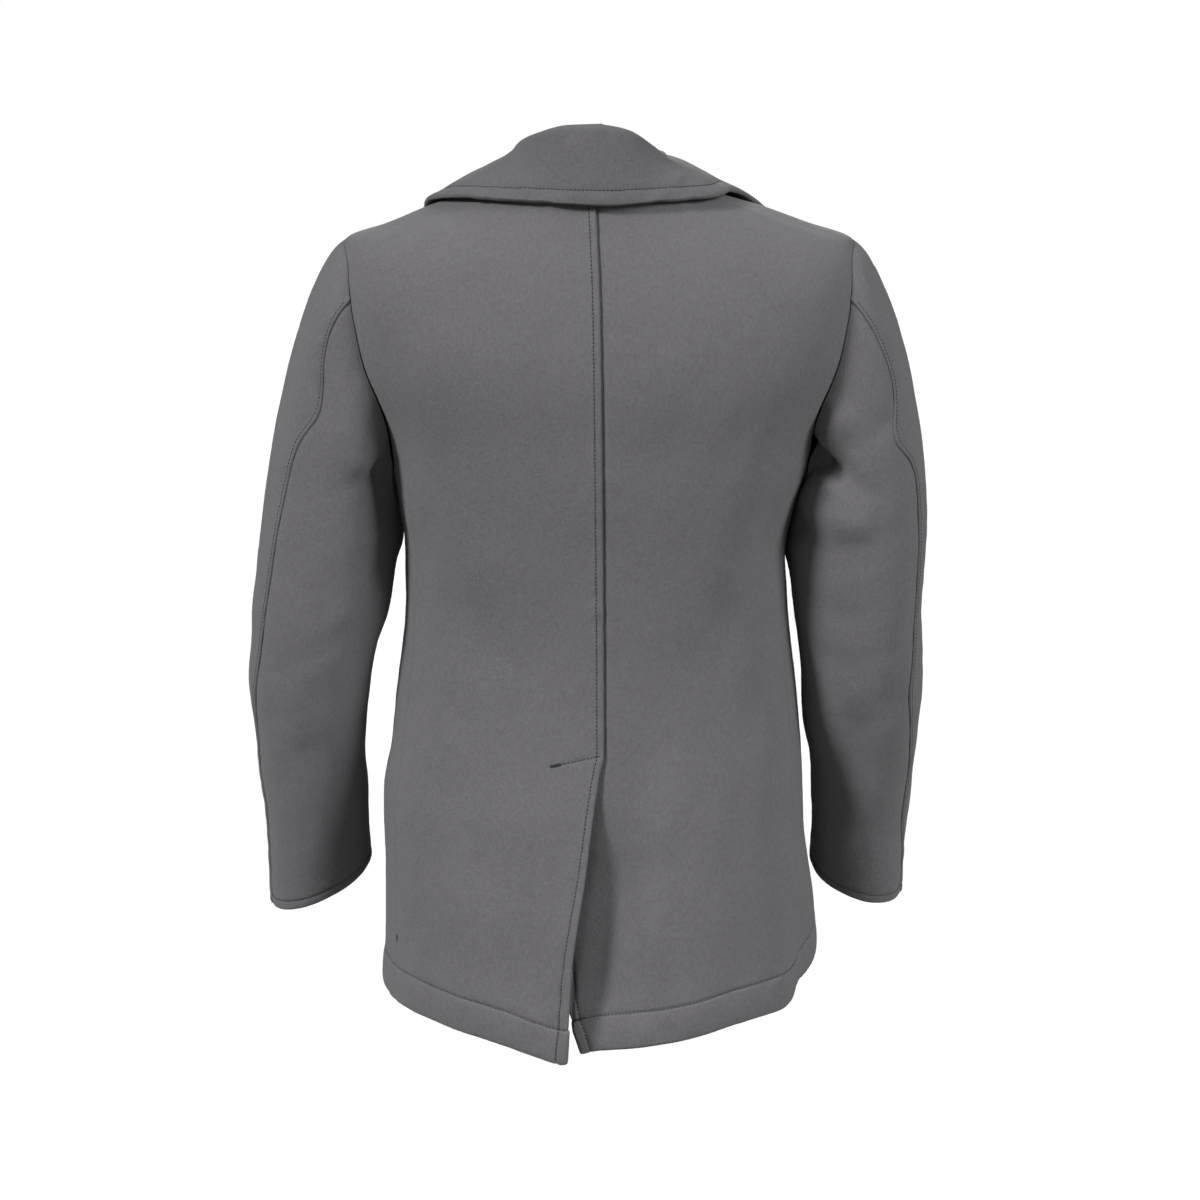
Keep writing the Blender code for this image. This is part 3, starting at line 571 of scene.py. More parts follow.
def stitch_mesh(name, notes, material):
    """Every stitch is a five-sided spindle, nearly closed at its ends and widest in the
    middle, whose middle line is a parabola with its ends down in the cloth."""
    sides = 5
    turn = 2 * np.pi * np.arange(sides) / sides
    place = np.array([-1, -0.78, 0, 0.78, 1.0])
    size = np.array([0.05, 0.8, 1, 0.8, 0.05])
    points, quads, start = [], [], 0
    size_of_one = len(place) * sides
    cap = np.array([(0, 1, 2, 2), (0, 2, 3, 3), (0, 3, 4, 4)])
    pattern = np.concatenate([ring_quads(len(place), sides), cap,
                              cap[:, [2, 1, 0, 0]] + size_of_one - sides])
    for centre, along, up, half, radius in notes:
        side = np.cross(along, up)
        body = (centre[:, None, None, :]
                + along[:, None, None, :] * (half[:, None] * place)[:, :, None, None]
                + (side[:, None, None, :] * np.cos(turn)[None, None, :, None]
                   + up[:, None, None, :] * np.sin(turn)[None, None, :, None])
                * (radius * size)[None, :, None, None]
                - up[:, None, None, :] * (0.5 * radius * place ** 2)[None, :, None, None])
        points.append(body.reshape(-1, 3))
        firsts = start + np.arange(len(centre)) * size_of_one
        quads.append((firsts[:, None, None] + pattern).reshape(-1, 4))
        start += len(centre) * size_of_one
    return add_mesh(name, np.concatenate(points), np.concatenate(quads), material)


# ---------- body panels
def rows_between(*stops):
    """Row heights from (height, pitch) stops: each pitch holds up to the next stop."""
    rows = [stops[0][0]]
    for (low, pitch), (high, _next) in zip(stops, stops[1:]):
        count = max(1, int(round((high - low) / pitch)))
        rows += list(np.linspace(low, high, count + 1)[1:])
    return np.array(rows, float)


HEM_STITCH = 31
HEM_LAYER = 2.2           # the turned-up cloth inside the hem band
HEM_FADE = 3              # height over which the band's puff ends under its stitches
LAYER_ENDS = 4            # height over which a turned-up layer thins out
BODY_ROWS = rows_between(
    (HEM, 0.8), (HEM + 2.4, 2), (HEM + 8, 3.4), (HEM + HEM_STITCH - 3, 0.8), (HEM + HEM_STITCH + 3, 3.4),
    (-514, 1.6), (-488, 3.4), (UNDERARM, 2), (-238, 3.4), (-98, 1.6), (SHOULDER_TIP, 1.3), (0, 1))
ROW_DROP = ease((HEM_DROP_STARTS - BODY_ROWS) / (HEM_DROP_STARTS - HEM_DROP_WHOLE))
HEM_ROW = nearest(BODY_ROWS, HEM + HEM_STITCH)
ABOVE_FOLD = BODY_ROWS > HEM + 2
SEAM_STEPS = (0, 0.6, 1.3, 2.2, 3.4, 5, 7.5, 11)
STITCHED_STEPS = (0, 0.6, 1.3, 2.3, 3.8, 5.4, 6.5, 7.4, 8.3, 9.4, 12)
EDGE_STITCH = 7.4
EDGE_COLUMN = nearest(STITCHED_STEPS, EDGE_STITCH)
STRIP = Table("height stitch", [
    (-800, 8.6), (-740, 8.2), (-640, 6.2), (-560, 4.8), (VENT_TOP, 4.6), (0, 4.6),
])
PITCH = 4.1               # between a panel's even columns
FRONT_PITCH = 4.4
DENSE = 240               # points along a row while its columns are placed


def panel_side(part):
    """Angle of the seam at a panel's outer side: side seam, armhole, then shoulder."""
    below, arm = SIDE_SEAM.read("angle", BODY_ROWS), ARMHOLE.read(part, BODY_ROWS)
    return np.where(BODY_ROWS >= SHOULDER_TIP, 90.0, np.where(BODY_ROWS < UNDERARM, below, arm))


def with_hem_drop(angle):
    """Row heights over the whole panel, the lowest rows following the hem's curve."""
    return BODY_ROWS[:, None] + ROW_DROP[:, None] * HEM_DROP.read("drop", wrapped(angle))


def centre_edge(column):
    """Angle of a back's centre edge, read at the heights that it really has."""
    lowered = BODY_ROWS + ROW_DROP * HEM_DROP.read("drop", VENT_ANGLE)
    return back_angle(CENTRE_BACK.read(column, lowered), BODY_ROWS)


def columns_at(edge, side, pitch, spread):
    """Angles of a panel's columns: at fixed lengths from its free edge, times that
    row's spread, and from its sewn side in each row, and even ones between, by
    running length round the row."""
    angle = edge[:, None] + (side - edge)[:, None] * np.linspace(0, 1, DENSE)
    run = lengths(oval(angle, with_hem_drop(angle)), 1)
    total = run[:, -1:]
    near_edge = FREE_INSET + spread * np.ones_like(total) * STITCHED_STEPS
    near_side = SEWN_INSET + np.array(SEAM_STEPS)
    count = int((np.median(total) - near_edge.max() - near_side[-1]) / pitch)
    start, end = near_edge[:, -1:], total - near_side[-1]
    even = start + (end - start) * np.linspace(0, 1, count + 1)[1:-1]
    places = np.concatenate([near_edge, even, total - near_side[::-1]], 1)
    return np.stack([np.interp(row, along, turned) for row, along, turned in zip(places, run, angle)])


# A row of stitching: its groove's depth and half width, then its gathers' seed, reach
# and height.
SEWN_ROWS = {
    "hem": (1.0, 1.5, 21, 9, 0.35),
    "strip": (0.75, 1.15, 3, 6, 0.28),
    "front edge": (0.75, 1.15, 5, 6, 0.28),
    "cuff": (0.8, 1.3, 41, 6, 0.25),
    "hind seam": (0.3, 0.9, 43, 5, 0.2),
    "collar edge": (0.7, 1.3, 51, 6, 0.22),
}
PLAIN_GROOVE = (0.75, 1.15)
SLANTED_GROOVE = (0.8, 1.5)
SLANTED_FADE = 0.125      # share of that row over which its groove fades, at each end
SLANTED_SINK = 0.7        # how deep its stitches lie
SEAM_ROLL = (0.5, 3.2)    # depth and half width of the cloth's roll into a seam
SLEEVE_ROLL = (0.5, 2.6)
ARMHOLE_ROLL = 3.0        # half width of that roll at the armhole
ROLL_LEAST = 0.05         # its depth at the top, and at the most on a back and a sleeve
BACK_ROLL = 0.5
CAP_ROLL = 0.9
ROLL_STARTS = -140        # height at which it begins to grow
ROLL_GROWS = 100          # and the drop over which it does
GROOVE_GROWS = 30         # the drop over which a sewn edge's groove begins


def groove(away, depth, width):
    """A bell's groove along a line."""
    return -depth * bell(away, width)


def sewn_row(row, along, away):
    """A groove along a row of stitching, and small gathers beside it: waves along the
    row that fade away from it as a bell."""
    depth, width, seed, reach, height = SEWN_ROWS[row]
    gathers = unevenness(along, np.zeros_like(along), seed, GATHERS)
    return groove(away, depth, width) + height * gathers * bell(away, reach)


def armhole_roll(away, height, most):
    """The cloth's roll into the armhole seam, which goes from the least depth to the
    most on the way down."""
    grown = ease((ROLL_STARTS - height) / ROLL_GROWS)
    return groove(away, ROLL_LEAST + (most - ROLL_LEAST) * grown, ARMHOLE_ROLL)


class PanelGrid:
    """A panel's outer grid with the running lengths that its details are drawn by."""

    def __init__(self, skin, edge, side, pitch=PITCH, spread=1.0):
        angle = columns_at(edge, side, pitch, spread)
        self.height = with_hem_drop(angle)
        self.points = skin(angle, self.height)
        self.out = outward(skin, angle, self.height)
        self.from_edge = lengths(self.points, 1)
        self.from_side = self.from_edge[:, -1:] - self.from_edge
        self.from_hem = lengths(self.points, 0)


def hem_band(grid):
    """Puffed turned-up hem under its row of stitching: a half wave of the height, to
    the power 0.6."""
    past = grid.from_hem - HEM_STITCH
    puff = ease(-past / HEM_FADE) * np.sin(np.pi * np.clip(grid.from_hem / HEM_STITCH, 0, 1)) ** 0.6
    return puff + sewn_row("hem", grid.from_edge, past)


def finish_panel(name, grid, lift, material, group, sewn_rows):
    """Makes a panel with its hem band, and sews its hem and its free edge; the hem band
    is thicker by its turned-up layer."""
    outer = grid.points + grid.out * (hem_band(grid) + lift)[..., None]
    thickness = CLOTH + HEM_LAYER * ease((HEM_STITCH + 2 - grid.from_hem) / LAYER_ENDS)
    inner = grid.points - grid.out * thickness[..., None]
    uv = np.stack([grid.from_edge, grid.from_hem], -1)
    thing = shell(name + "_cloth", outer, inner, material, uv, ("last_column", "last_row"))
    declare(grid.points, name)
    sew(group, outer[HEM_ROW, 2:-2], grid.out[HEM_ROW, 2:-2])
    sew(group, outer[sewn_rows, EDGE_COLUMN], grid.out[sewn_rows, EDGE_COLUMN])
    return outer


VENT_STITCH = ((-1, VENT_TOP - 0.5), (41, -507))      # X and height of the slanted row's ends
VENT_TACK = (8.5, 3)      # length and width
HEM_TACK = (9, 3)
SIDE_TACK = (5, 2.8)
SIDE_TACK_HEIGHT = -687
UNDER_GROOVE_TOP = VENT_TOP - 25      # on the vent's lower layer
UNDER_SEWN_BELOW = VENT_TOP - 60
FRONT_GROOVE_TOP = -330
FRONT_SEWN_BELOW = -336


def make_back_left(material):
    """The upper back panel, with the stitched strip, the slanted row above the vent,
    its tack and the side's."""
    stitch = STRIP.read("stitch", BODY_ROWS)[:, None]
    grid = PanelGrid(back_left_skin, centre_edge("seam"), panel_side("back"), spread=stitch / EDGE_STITCH)
    from_stitch = grid.from_edge - stitch
    (x0, z0), (x1, z1) = VENT_STITCH
    share = (grid.points[..., 0] - x0) / (x1 - x0)
    from_slant = grid.height - (z0 + (z1 - z0) * share)
    lift = (groove(from_slant, *SLANTED_GROOVE)
            * ease(share / SLANTED_FADE) * ease((1 - share) / SLANTED_FADE)
            + armhole_roll(grid.from_side, grid.height, BACK_ROLL)
            + sewn_row("strip", grid.from_hem, from_stitch))
    outer = finish_panel("back_left", grid, lift, material, "back", ABOVE_FOLD)
    at = np.linspace(0.03, 0.97, 60)
    height = z0 + (z1 - z0) * at
    angle = back_angle(x0 + (x1 - x0) * at, height)
    normals = outward(back_left_skin, angle, height)
    line = back_left_skin(angle, height) - normals * SLANTED_SINK
    sew("back", line, normals)
    bar_tack("back", line[-1] + normals[-1] * 0.4, unit(line[-1] - line[-2]), normals[-1], *VENT_TACK)
    row = nearest(grid.height[:, -3], SIDE_TACK_HEIGHT)
    bar_tack("back", outer[row, -3], UP, grid.out[row, -3], *SIDE_TACK)


def make_back_right(material):
    """The lower back panel, sewn along its free edge under the vent, tacked at the hem."""
    grid = PanelGrid(back_right_skin, centre_edge("under"), -panel_side("back"))
    below = ease((UNDER_GROOVE_TOP - grid.height) / GROOVE_GROWS)
    lift = (armhole_roll(grid.from_side, grid.height, BACK_ROLL)
            + below * groove(grid.from_edge - EDGE_STITCH, *PLAIN_GROOVE))
    outer = finish_panel("back_right", grid, lift, material, "back", BODY_ROWS < UNDER_SEWN_BELOW)
    hem, out = outer[HEM_ROW], grid.out[HEM_ROW]
    bar_tack("back", hem[7] + out[7] * 0.3, unit(hem[9] - hem[5]), out[7], *HEM_TACK)


def make_front(side_name, side, skin, material):
    """A front, sewn along its free edge below the lapel."""
    edge = front_angle(-side * FRONT_EDGE.read(side_name, BODY_ROWS), BODY_ROWS, side)
    grid = PanelGrid(skin, edge, side * panel_side("front"), FRONT_PITCH)
    below = ease((FRONT_GROOVE_TOP - grid.height) / GROOVE_GROWS)
    lift = (groove(grid.from_side, *SEAM_ROLL)
            + below * sewn_row("front edge", grid.from_hem, grid.from_edge - EDGE_STITCH))
    sewn_rows = (BODY_ROWS < FRONT_SEWN_BELOW) & ABOVE_FOLD
    finish_panel("front_" + side_name, grid, lift, material, "fronts", sewn_rows)


# ---------- sleeves
BICEPS = -334
CUFF = -668
SLEEVES = {
    "left": Table("height x y roll pitch width depth hind fore", [
        (-690, 264, -44, 22, 13, 52, 45, 17, 207),
        (CUFF, 264, -40, 22, 13, 52, 46, 17, 207),
        (-631, 264, -33, 15, 13, 49, 48, 20, 207),
        (-588, 264, -24, 9, 12, 48, 50, 22, 207),
        (-545, 266, -14, 5, 11, 49, 52, 21, 208),
        (-504, 265, -5, 2, 10, 51, 54, 26, 208),
        (-464, 264, 2, 0, 8, 55, 56, 32, 209),
        (-425, 258, 5, -3, 5, 57, 58, 37, 210),
        (-388, 251, 6, -6, 2, 61, 60, 40, 211),
        (BICEPS, 243, 2, -8, 0, 62, 63, 46, 212),
    ]),
    "right": Table("height x y roll pitch width depth hind fore", [
        (-690, 242, -60, 16, 18, 46, 44, 17, 207),
        (CUFF, 242, -54, 16, 18, 46, 45, 17, 207),
        (-631, 241, -44, 9, 14, 44, 47, 22, 207),
        (-588, 242, -35, 5, 13, 46, 49, 37, 207),
        (-545, 241, -23, 3, 12, 48, 51, 33, 208),
        (-504, 238, -11, 1, 10, 53, 54, 37, 208),
        (-464, 237, -3, 0, 8, 55, 56, 42, 209),
        (-425, 234, 2, -3, 5, 56, 58, 36, 210),
        (-388, 231, 4, -6, 2, 58, 60, 33, 211),
        (BICEPS, 229, 2, -8, 0, 62, 63, 34, 212),
    ]),
}
CAP_PULL = Table("around x y z pull", [
    (0, 0.88, 0.0, -0.48, 0.46),
    (45, 0.80, 0.22, -0.55, 0.52),
    (90, 0.62, 0.22, -0.75, 0.62),
    (135, 0.60, 0.15, -0.78, 0.55),
    (180, 0.50, -0.10, -0.86, 0.45),
    (225, 0.55, -0.15, -0.82, 0.50),
    (270, 0.62, -0.18, -0.76, 0.62),
    (315, 0.80, -0.18, -0.56, 0.52),
    (360, 0.88, 0.0, -0.48, 0.46),
])
SLEEVE_FOLDS = {
    "left": [
        ("elbow bulge", 104, -200, 4, 116, -246, 6, 20),
        ("underarm hollow", 150, -272, -11, 158, -350, -6, 19),
        ("underarm gather", 206, -268, 9, 206, -330, 8, 19),
        ("outer ease", 35, -330, 0, 60, -480, -3, 20),
        ("elbow hollow", 100, -390, -3, 96, -520, -4, 34),
        ("forearm hollow", 95, -520, -3, 120, -600, -1, 18),
    ],
    "right": [
        ("upper bulge", 112, -214, 6, 134, -228, 4, 15),
        ("pinch", 122, -256, -7, 156, -247, -14, 12),
        ("ridge", 160, -286, 4, 100, -304, 5, 15),
        ("underarm gather", 206, -268, 9, 206, -345, 8, 19),
        ("outer ease", 40, -340, 0, 62, -470, -3, 20),
        ("elbow hollow", 100, -400, -3, 96, -520, -4, 34),
        ("forearm hollow", 98, -500, -3, 124, -590, -1, 18),
    ],
}
SLEEVE_CREASES = {        # narrower ones that only the cloth has
    "left": [
        ("break under bulge", 148, -258, -6.0, 117, -268, -2.0, 9),
        ("break lip", 116, -275, 1.4, 98, -300, 0.6, 10),
        ("inner drag", 150, -340, -2.4, 132, -430, -0.6, 10),
        ("elbow drag", 120, -405, -1.6, 70, -440, -0.4, 11),
        ("forearm ridge", 84, -440, 1.2, 76, -590, 0.8, 13),
        ("cuff drag", 60, -600, -1.0, 104, -640, -0.5, 11),
        ("seam pull", 64, -184, -2.0, 86, -214, -0.6, 9),
        ("front break", 250, -280, -2.4, 290, -330, -0.6, 11),
        ("front elbow", 236, -400, -2.2, 300, -425, -0.5, 12),
        ("front elbow low", 240, -440, -1.5, 292, -470, -0.4, 12),
        ("front ridge", 280, -350, 1.2, 270, -560, 0.8, 15),
        ("outer dip", 350, -420, -1.0, 345, -560, -0.6, 16),
    ],
    "right": [
        ("pinch core", 148, -250, -10.0, 118, -258, -6.0, 7),
        ("pinch tail", 112, -260, -3.0, 74, -284, -0.6, 10),
        ("pinch lip", 128, -272, 2.0, 100, -286, 0.5, 8),
        ("inner drag", 154, -312, -6.0, 124, -326, -1.6, 10),
        ("second drag", 146, -372, -1.6, 96, -398, -0.5, 11),
        ("elbow drag", 124, -430, -1.4, 76, -455, -0.4, 11),
        ("forearm ridge", 84, -450, 1.2, 74, -590, 0.8, 13),
        ("cuff drag", 62, -596, -1.0, 106, -636, -0.5, 11),
        ("seam pull", 66, -214, -2.0, 88, -232, -0.6, 8),
        ("front break", 248, -276, -2.3, 288, -322, -0.6, 11),
        ("front elbow", 238, -404, -2.1, 298, -430, -0.5, 12),
        ("front elbow low", 244, -452, -1.4, 290, -480, -0.4, 12),
        ("front ridge", 282, -350, 1.2, 270, -560, 0.8, 15),
        ("outer dip", 352, -400, -1.0, 345, -540, -0.6, 16),
    ],
}
UNDERARM_ROOM = 1.2
HIND_ROW = -111           # height at which the hind seam leaves the armhole
FORE_ROW = -253
SEAM_BEND = {"left": (16, 0.44, 0.15), "right": (14, 0.57, 0.11)}     # turn, middle, reach
BEND_FADE = 48
CAP_STEPS = np.concatenate([[0, 0.003, 0.007, 0.013, 0.02], np.linspace(0.03, 1, 50)])
ARM_ROWS = rows_between((CUFF, 0.8), (CUFF + 2.4, 1.3), (CUFF + 12, 4), (BICEPS, 1))[::-1][1:]
CUFF_STITCH = 7.4
CUFF_BAND = 26            # height of the turned-up cloth inside the cuff
CUFF_LAYER = 2.0
HIND_RAISE = 1.1          # of the top sleeve's edge over the under sleeve
HIND_SLOPE = 2.4
HIND_STITCH = 1.7
HIND_STEPS = (0, 0.5, 0.9, 1.3, 1.7, 2.1, 2.6, 3.2, 4.2, 5.6, 7.6, 11)
HIND_COLUMN = -1 - nearest(HIND_STEPS, HIND_STITCH)
HIND_THREAD = 0.34
SLEEVE_TURN = 0.7         # to each side over which a sleeve's slope is taken
WAVER_GROWS = 25          # distance below the armhole over which the waver begins


def armhole_curve(side):
    """Dense armhole seam, over the top to the back, under the arm and up the front,
    and the angle of each point: its share of the length, half a turn a side."""
    heights = SHOULDER_TIP + (UNDERARM - SHOULDER_TIP) * ease(np.linspace(0, 1, 260))
    back = plain_skin(side * ARMHOLE.read("back", heights), heights)
    front = plain_skin(side * ARMHOLE.read("front", heights), heights)
    points = np.concatenate([back, front[-2::-1]])
    under = len(heights) - 1
    run = run_along(points)
    around = np.where(np.arange(len(run)) <= under, 180 * run / run[under],
                      180 + 180 * (run - run[under]) / (run[-1] - run[under]))
    hind = np.interp(-HIND_ROW, -heights, around[:len(heights)])
    fore = np.interp(FORE_ROW, points[under:, 2], around[under:])
    return points, around, hind, fore


def sleeve_ring(table, side, around, height):
    """Oval ring of the sleeve, turned by its roll and pitch."""
    roll, pitch = (np.radians(table.read(name, height)) for name in ("roll", "pitch"))
    width = table.read("width", height) * np.cos(np.radians(around))
    depth = table.read("depth", height) * np.sin(np.radians(around))
    x = table.read("x", height) + width * np.cos(roll)
    y = table.read("y", height) + depth * np.cos(pitch)
    z = height - width * np.sin(roll) - depth * np.sin(pitch)
    return stack(side * x, y, z)


def column_angles(table, around, seams, height):
    """Angles of the sleeve's columns at a height, kept evenly between its seams."""
    hind, fore = seams
    now_hind, now_fore = table.read("hind", height), table.read("fore", height)
    under = now_hind + (now_fore - now_hind) * (around - hind) / (fore - hind)
    past = np.where(around < hind, around + 360, around)
    top = now_fore + (now_hind + 360 - now_fore) * (past - fore) / (hind + 360 - fore)
    return np.where((around >= hind) & (around <= fore), under, top)


def sleeve_sheet(side_name, side, wanted, curve):
    """Sleeve rows from armhole to cuff at the wanted angles. Above the biceps each
    column is a Hermite curve from the seam, leaving along the cap's pull, to the
    biceps ring; below it the rings follow the table. The hind seam bends towards the
    back on its way down, by a bell along it that fades round the sleeve."""
    table = SLEEVES[side_name]
    points, dense, hind, fore = curve
    seams = (hind, fore)
    turn, middle, reach = SEAM_BEND[side_name]
    near_hind = bell(wrapped(wanted - hind), BEND_FADE)
    around = (wanted + turn * bell(CAP_STEPS[:, None] - middle, reach) * near_hind) % 360
    start = read_line(around, dense, points)
    at_biceps, at_below = (column_angles(table, around, seams, row) for row in (BICEPS, BICEPS - 2))
    biceps = sleeve_ring(table, side, at_biceps, BICEPS)
    below = unit(sleeve_ring(table, side, at_below, BICEPS - 2) - biceps)
    length = np.linalg.norm(biceps - start, axis=-1, keepdims=True)
    pull_x, pull_y, pull_z = (CAP_PULL.read(name, around) for name in "xyz")
    pull = unit(stack(side * pull_x, pull_y, pull_z))
    strength = CAP_PULL.read("pull", around)[..., None]
    low = (0.5 - 0.5 * np.cos(np.radians(around)))[..., None]
    start = start + pull * (SEAM_GAP + UNDERARM_ROOM * low)
    s = CAP_STEPS[:, None, None]
    cap = ((1 + 2 * s) * (1 - s) ** 2 * start + s * (1 - s) ** 2 * length * strength * pull
           + s * s * (3 - 2 * s) * biceps + s * s * (s - 1) * length * below)
    arm_height = ARM_ROWS[:, None]
    arm_angle = column_angles(table, wanted[None, :] % 360, seams, arm_height)
    arm = sleeve_ring(table, side, arm_angle, arm_height)
    cap_angle = around + wrapped(at_biceps - around) * CAP_STEPS[:, None]
    return np.concatenate([cap, arm]), np.concatenate([cap_angle, arm_angle])


def make_sleeve_piece(part, side_name, side, first, last, near_last, curve, material):
    """The top or the under sleeve, between two seams at the angles first and last. The
    top's last edge is lapped, raised and stitched: the hind seam."""
    near_first = SEWN_INSET + np.array(SEAM_STEPS)
    count = int((last - first - near_first[-1] - near_last[-1]) / PITCH)
    even = np.linspace(first + near_first[-1], last - near_last[-1], count + 1)[1:-1]
    wanted = np.concatenate([first + near_first, even, last - near_last[::-1]])
    points, angle = sleeve_sheet(side_name, side, wanted, curve)
    ahead, behind = (sleeve_sheet(side_name, side, wanted + turn, curve)[0]
                     for turn in (SLEEVE_TURN, -SLEEVE_TURN))
    out = unit(np.cross(np.gradient(points, axis=0), ahead - behind)) * side
    height, angle = points[..., 2], angle % 360
    creases = (soft_folds(SLEEVE_CREASES[side_name], angle, height, MM_PER_ARM_DEGREE)
               + unevenness(angle, height, SLEEVE_SEED + side) * ease(lengths(points, 0) / WAVER_GROWS))
    lift = soft_folds(SLEEVE_FOLDS[side_name], angle, height, MM_PER_ARM_DEGREE) + crease_depth() * creases
    base = points + out * lift[..., None]
    across, down = lengths(base, 1), lengths(base, 0)
    from_cuff, from_last = down[-1:] - down, across[:, -1:] - across
    detail = (armhole_roll(down, height, CAP_ROLL) + groove(across, *SLEEVE_ROLL)
              + sewn_row("cuff", across, from_cuff - CUFF_STITCH))
    if part == "top":
        from_hind = from_last - HIND_STITCH
        detail = (detail + HIND_RAISE * (1 - ease(from_hind / HIND_SLOPE))
                  + sewn_row("hind seam", down, from_hind))
        seams = ("first_row", "first_column")
    else:
        detail = detail + groove(from_last, *SLEEVE_ROLL)
        seams = ("first_row", "first_column", "last_column")
    outer = base + out * detail[..., None]
    thickness = CLOTH + CUFF_LAYER * ease((CUFF_BAND - from_cuff) / LAYER_ENDS)
    inner = base - out * thickness[..., None]
    node = f"sleeve_{part}_{side_name}"
    thing = shell(node + "_cloth", outer, inner, material, np.stack([across, from_cuff], -1), seams)
    declare(base, node)
    row = nearest(from_cuff[:, len(wanted) // 2], CUFF_STITCH)
    sew("sleeves", outer[row, 1:-1], out[row, 1:-1])
    if part == "top":
        sew("sleeves", outer[6:-2, HIND_COLUMN], out[6:-2, HIND_COLUMN], radius=HIND_THREAD)


def make_sleeve(side_name, side, material):
    """Both pieces of a sleeve: the top from the fore seam over to the hind, the under
    between the two below."""
    curve = armhole_curve(side)
    hind, fore = curve[2:]
    lapped, sewn = FREE_INSET + np.array(HIND_STEPS), SEWN_INSET + np.array(SEAM_STEPS)
    make_sleeve_piece("top", side_name, side, fore, hind + 360, lapped, curve, material)
    make_sleeve_piece("under", side_name, side, hind, fore, sewn, curve, material)


# ---------- collar and lapels
COLLAR = Table("part seam_a rise mid_a mid_z mid_lift edge_a edge_z edge_lift", [
    (0.00, 0, 37, 0, -11, 10, 0, -27, 7),
    (0.15, 22, 35.5, 22, -11, 10, 25, -27.2, 7),
    (0.30, 45, 27, 44, -11, 11, 50, -29, 7.5),
    (0.45, 66, 18, 66, -14, 12, 70, -30.5, 7),
    (0.60, 88, 11, 88, -16, 11, 90, -33, 5.5),
    (0.75, 103, 8, 112, -22, 9.5, 118, -45, 5.5),
    (0.88, 113, 6, 126, -33, 9, 134, -66, 6.5),
    (1.00, 119, 5, 151, -66, 7.5, 142, -88, 6),
])
FOLD_RADIUS = 4.2
FOLD_TURN = 165
COLLAR_LEAN = 2
COLLAR_SKEW = 7           # the right half's fall lies up to this much higher,
SKEW_STARTS, SKEW_GROWS = 0.2, 0.55   # from here along it, over this share
COLLAR_SLUMP = 10         # and its fold this much lower, by a bell along it
SLUMP_PLACE, SLUMP_WIDTH = 0.36, 0.22
COLLAR_CREASES = ((70, 1.2, 7), (82, -0.8, 9))        # slanted: place, depth, half width
FALL_CREASED_FROM = 45    # distance from the collar's seam, past its stand and fold
COLLAR_STITCH = 11
EDGE_SWELL = 0.5
EDGE_PLACES = (0.93, 0.955, 0.975, 0.99, 1.0)         # close columns at a rounded edge


def collar_place(place, part, side):
    """Point of the fall over the body; the right half lies a little nearer the neck."""
    nearer = (side < 0) * COLLAR_SKEW * np.sin(np.pi * part) * ease((part - SKEW_STARTS) / SKEW_GROWS)
    angle, height, lift = (COLLAR.read(place + end, part) for end in ("_a", "_z", "_lift"))
    return above(plain_skin, side * angle, height + nearer, lift)


def collar_half(part, side):
    """Sections of the collar's middle: a straight stand, a round fold, and a fall that
    is a parabola through its middle and its edge, and straight at the collar's ends."""
    seam_angle = side * COLLAR.read("seam_a", part)
    aside = unit(outward(oval, seam_angle, np.zeros_like(part)) * (1, 1, 0))
    seam = oval(seam_angle, np.zeros_like(part)) + UP * (SEAM_GAP + SEAT_AIR) - aside * DOUBLED / 2
    slump = (side < 0) * COLLAR_SLUMP * bell(part - SLUMP_PLACE, SLUMP_WIDTH)
    top = seam + UP * (COLLAR.read("rise", part) - slump)[:, None] - aside * COLLAR_LEAN
    mid, edge = collar_place("mid", part, side), collar_place("edge", part, side)
    turn = np.radians(np.linspace(0, FOLD_TURN, 14))[:, None, None]
    fold = top + aside * FOLD_RADIUS * (1 - np.cos(turn)) + UP * FOLD_RADIUS * (np.sin(turn) - 1)
    stand = seam + (fold[0] - seam) * np.linspace(0, 1, 10)[:-1, None, None]
    leave = fold[-1]
    s = np.concatenate([np.linspace(0, 1, 26)[1:-3], (0.90,), EDGE_PLACES])[:, None, None]
    curved = (1 - s) * (1 - 2 * s) * leave + 4 * s * (1 - s) * mid + s * (2 * s - 1) * edge
    near = leave + (mid - leave) * np.minimum(2 * s, 1)
    direct = near + (edge - mid) * np.maximum(2 * s - 1, 0)
    fall = curved + (direct - curved) * part[None, :, None] ** 4
    return np.concatenate([stand, fold, fall]).transpose(1, 0, 2)


def beside(points, line):
    """Distance of each point of a grid to a line, and how far along it that is: the
    nearest of close points spread evenly over the line."""
    run = run_along(line)
    at = np.linspace(0, run[-1], 8 * len(line))
    close = read_line(at, run, line)
    flat = points.reshape(-1, 3)
    squared = (flat ** 2).sum(1)[:, None] + (close ** 2).sum(1) - 2 * flat @ close.T
    place = squared.argmin(1)
    distance = np.sqrt(np.maximum(squared[np.arange(len(flat)), place], 0))
    return distance.reshape(points.shape[:-1]), at[place].reshape(points.shape[:-1])


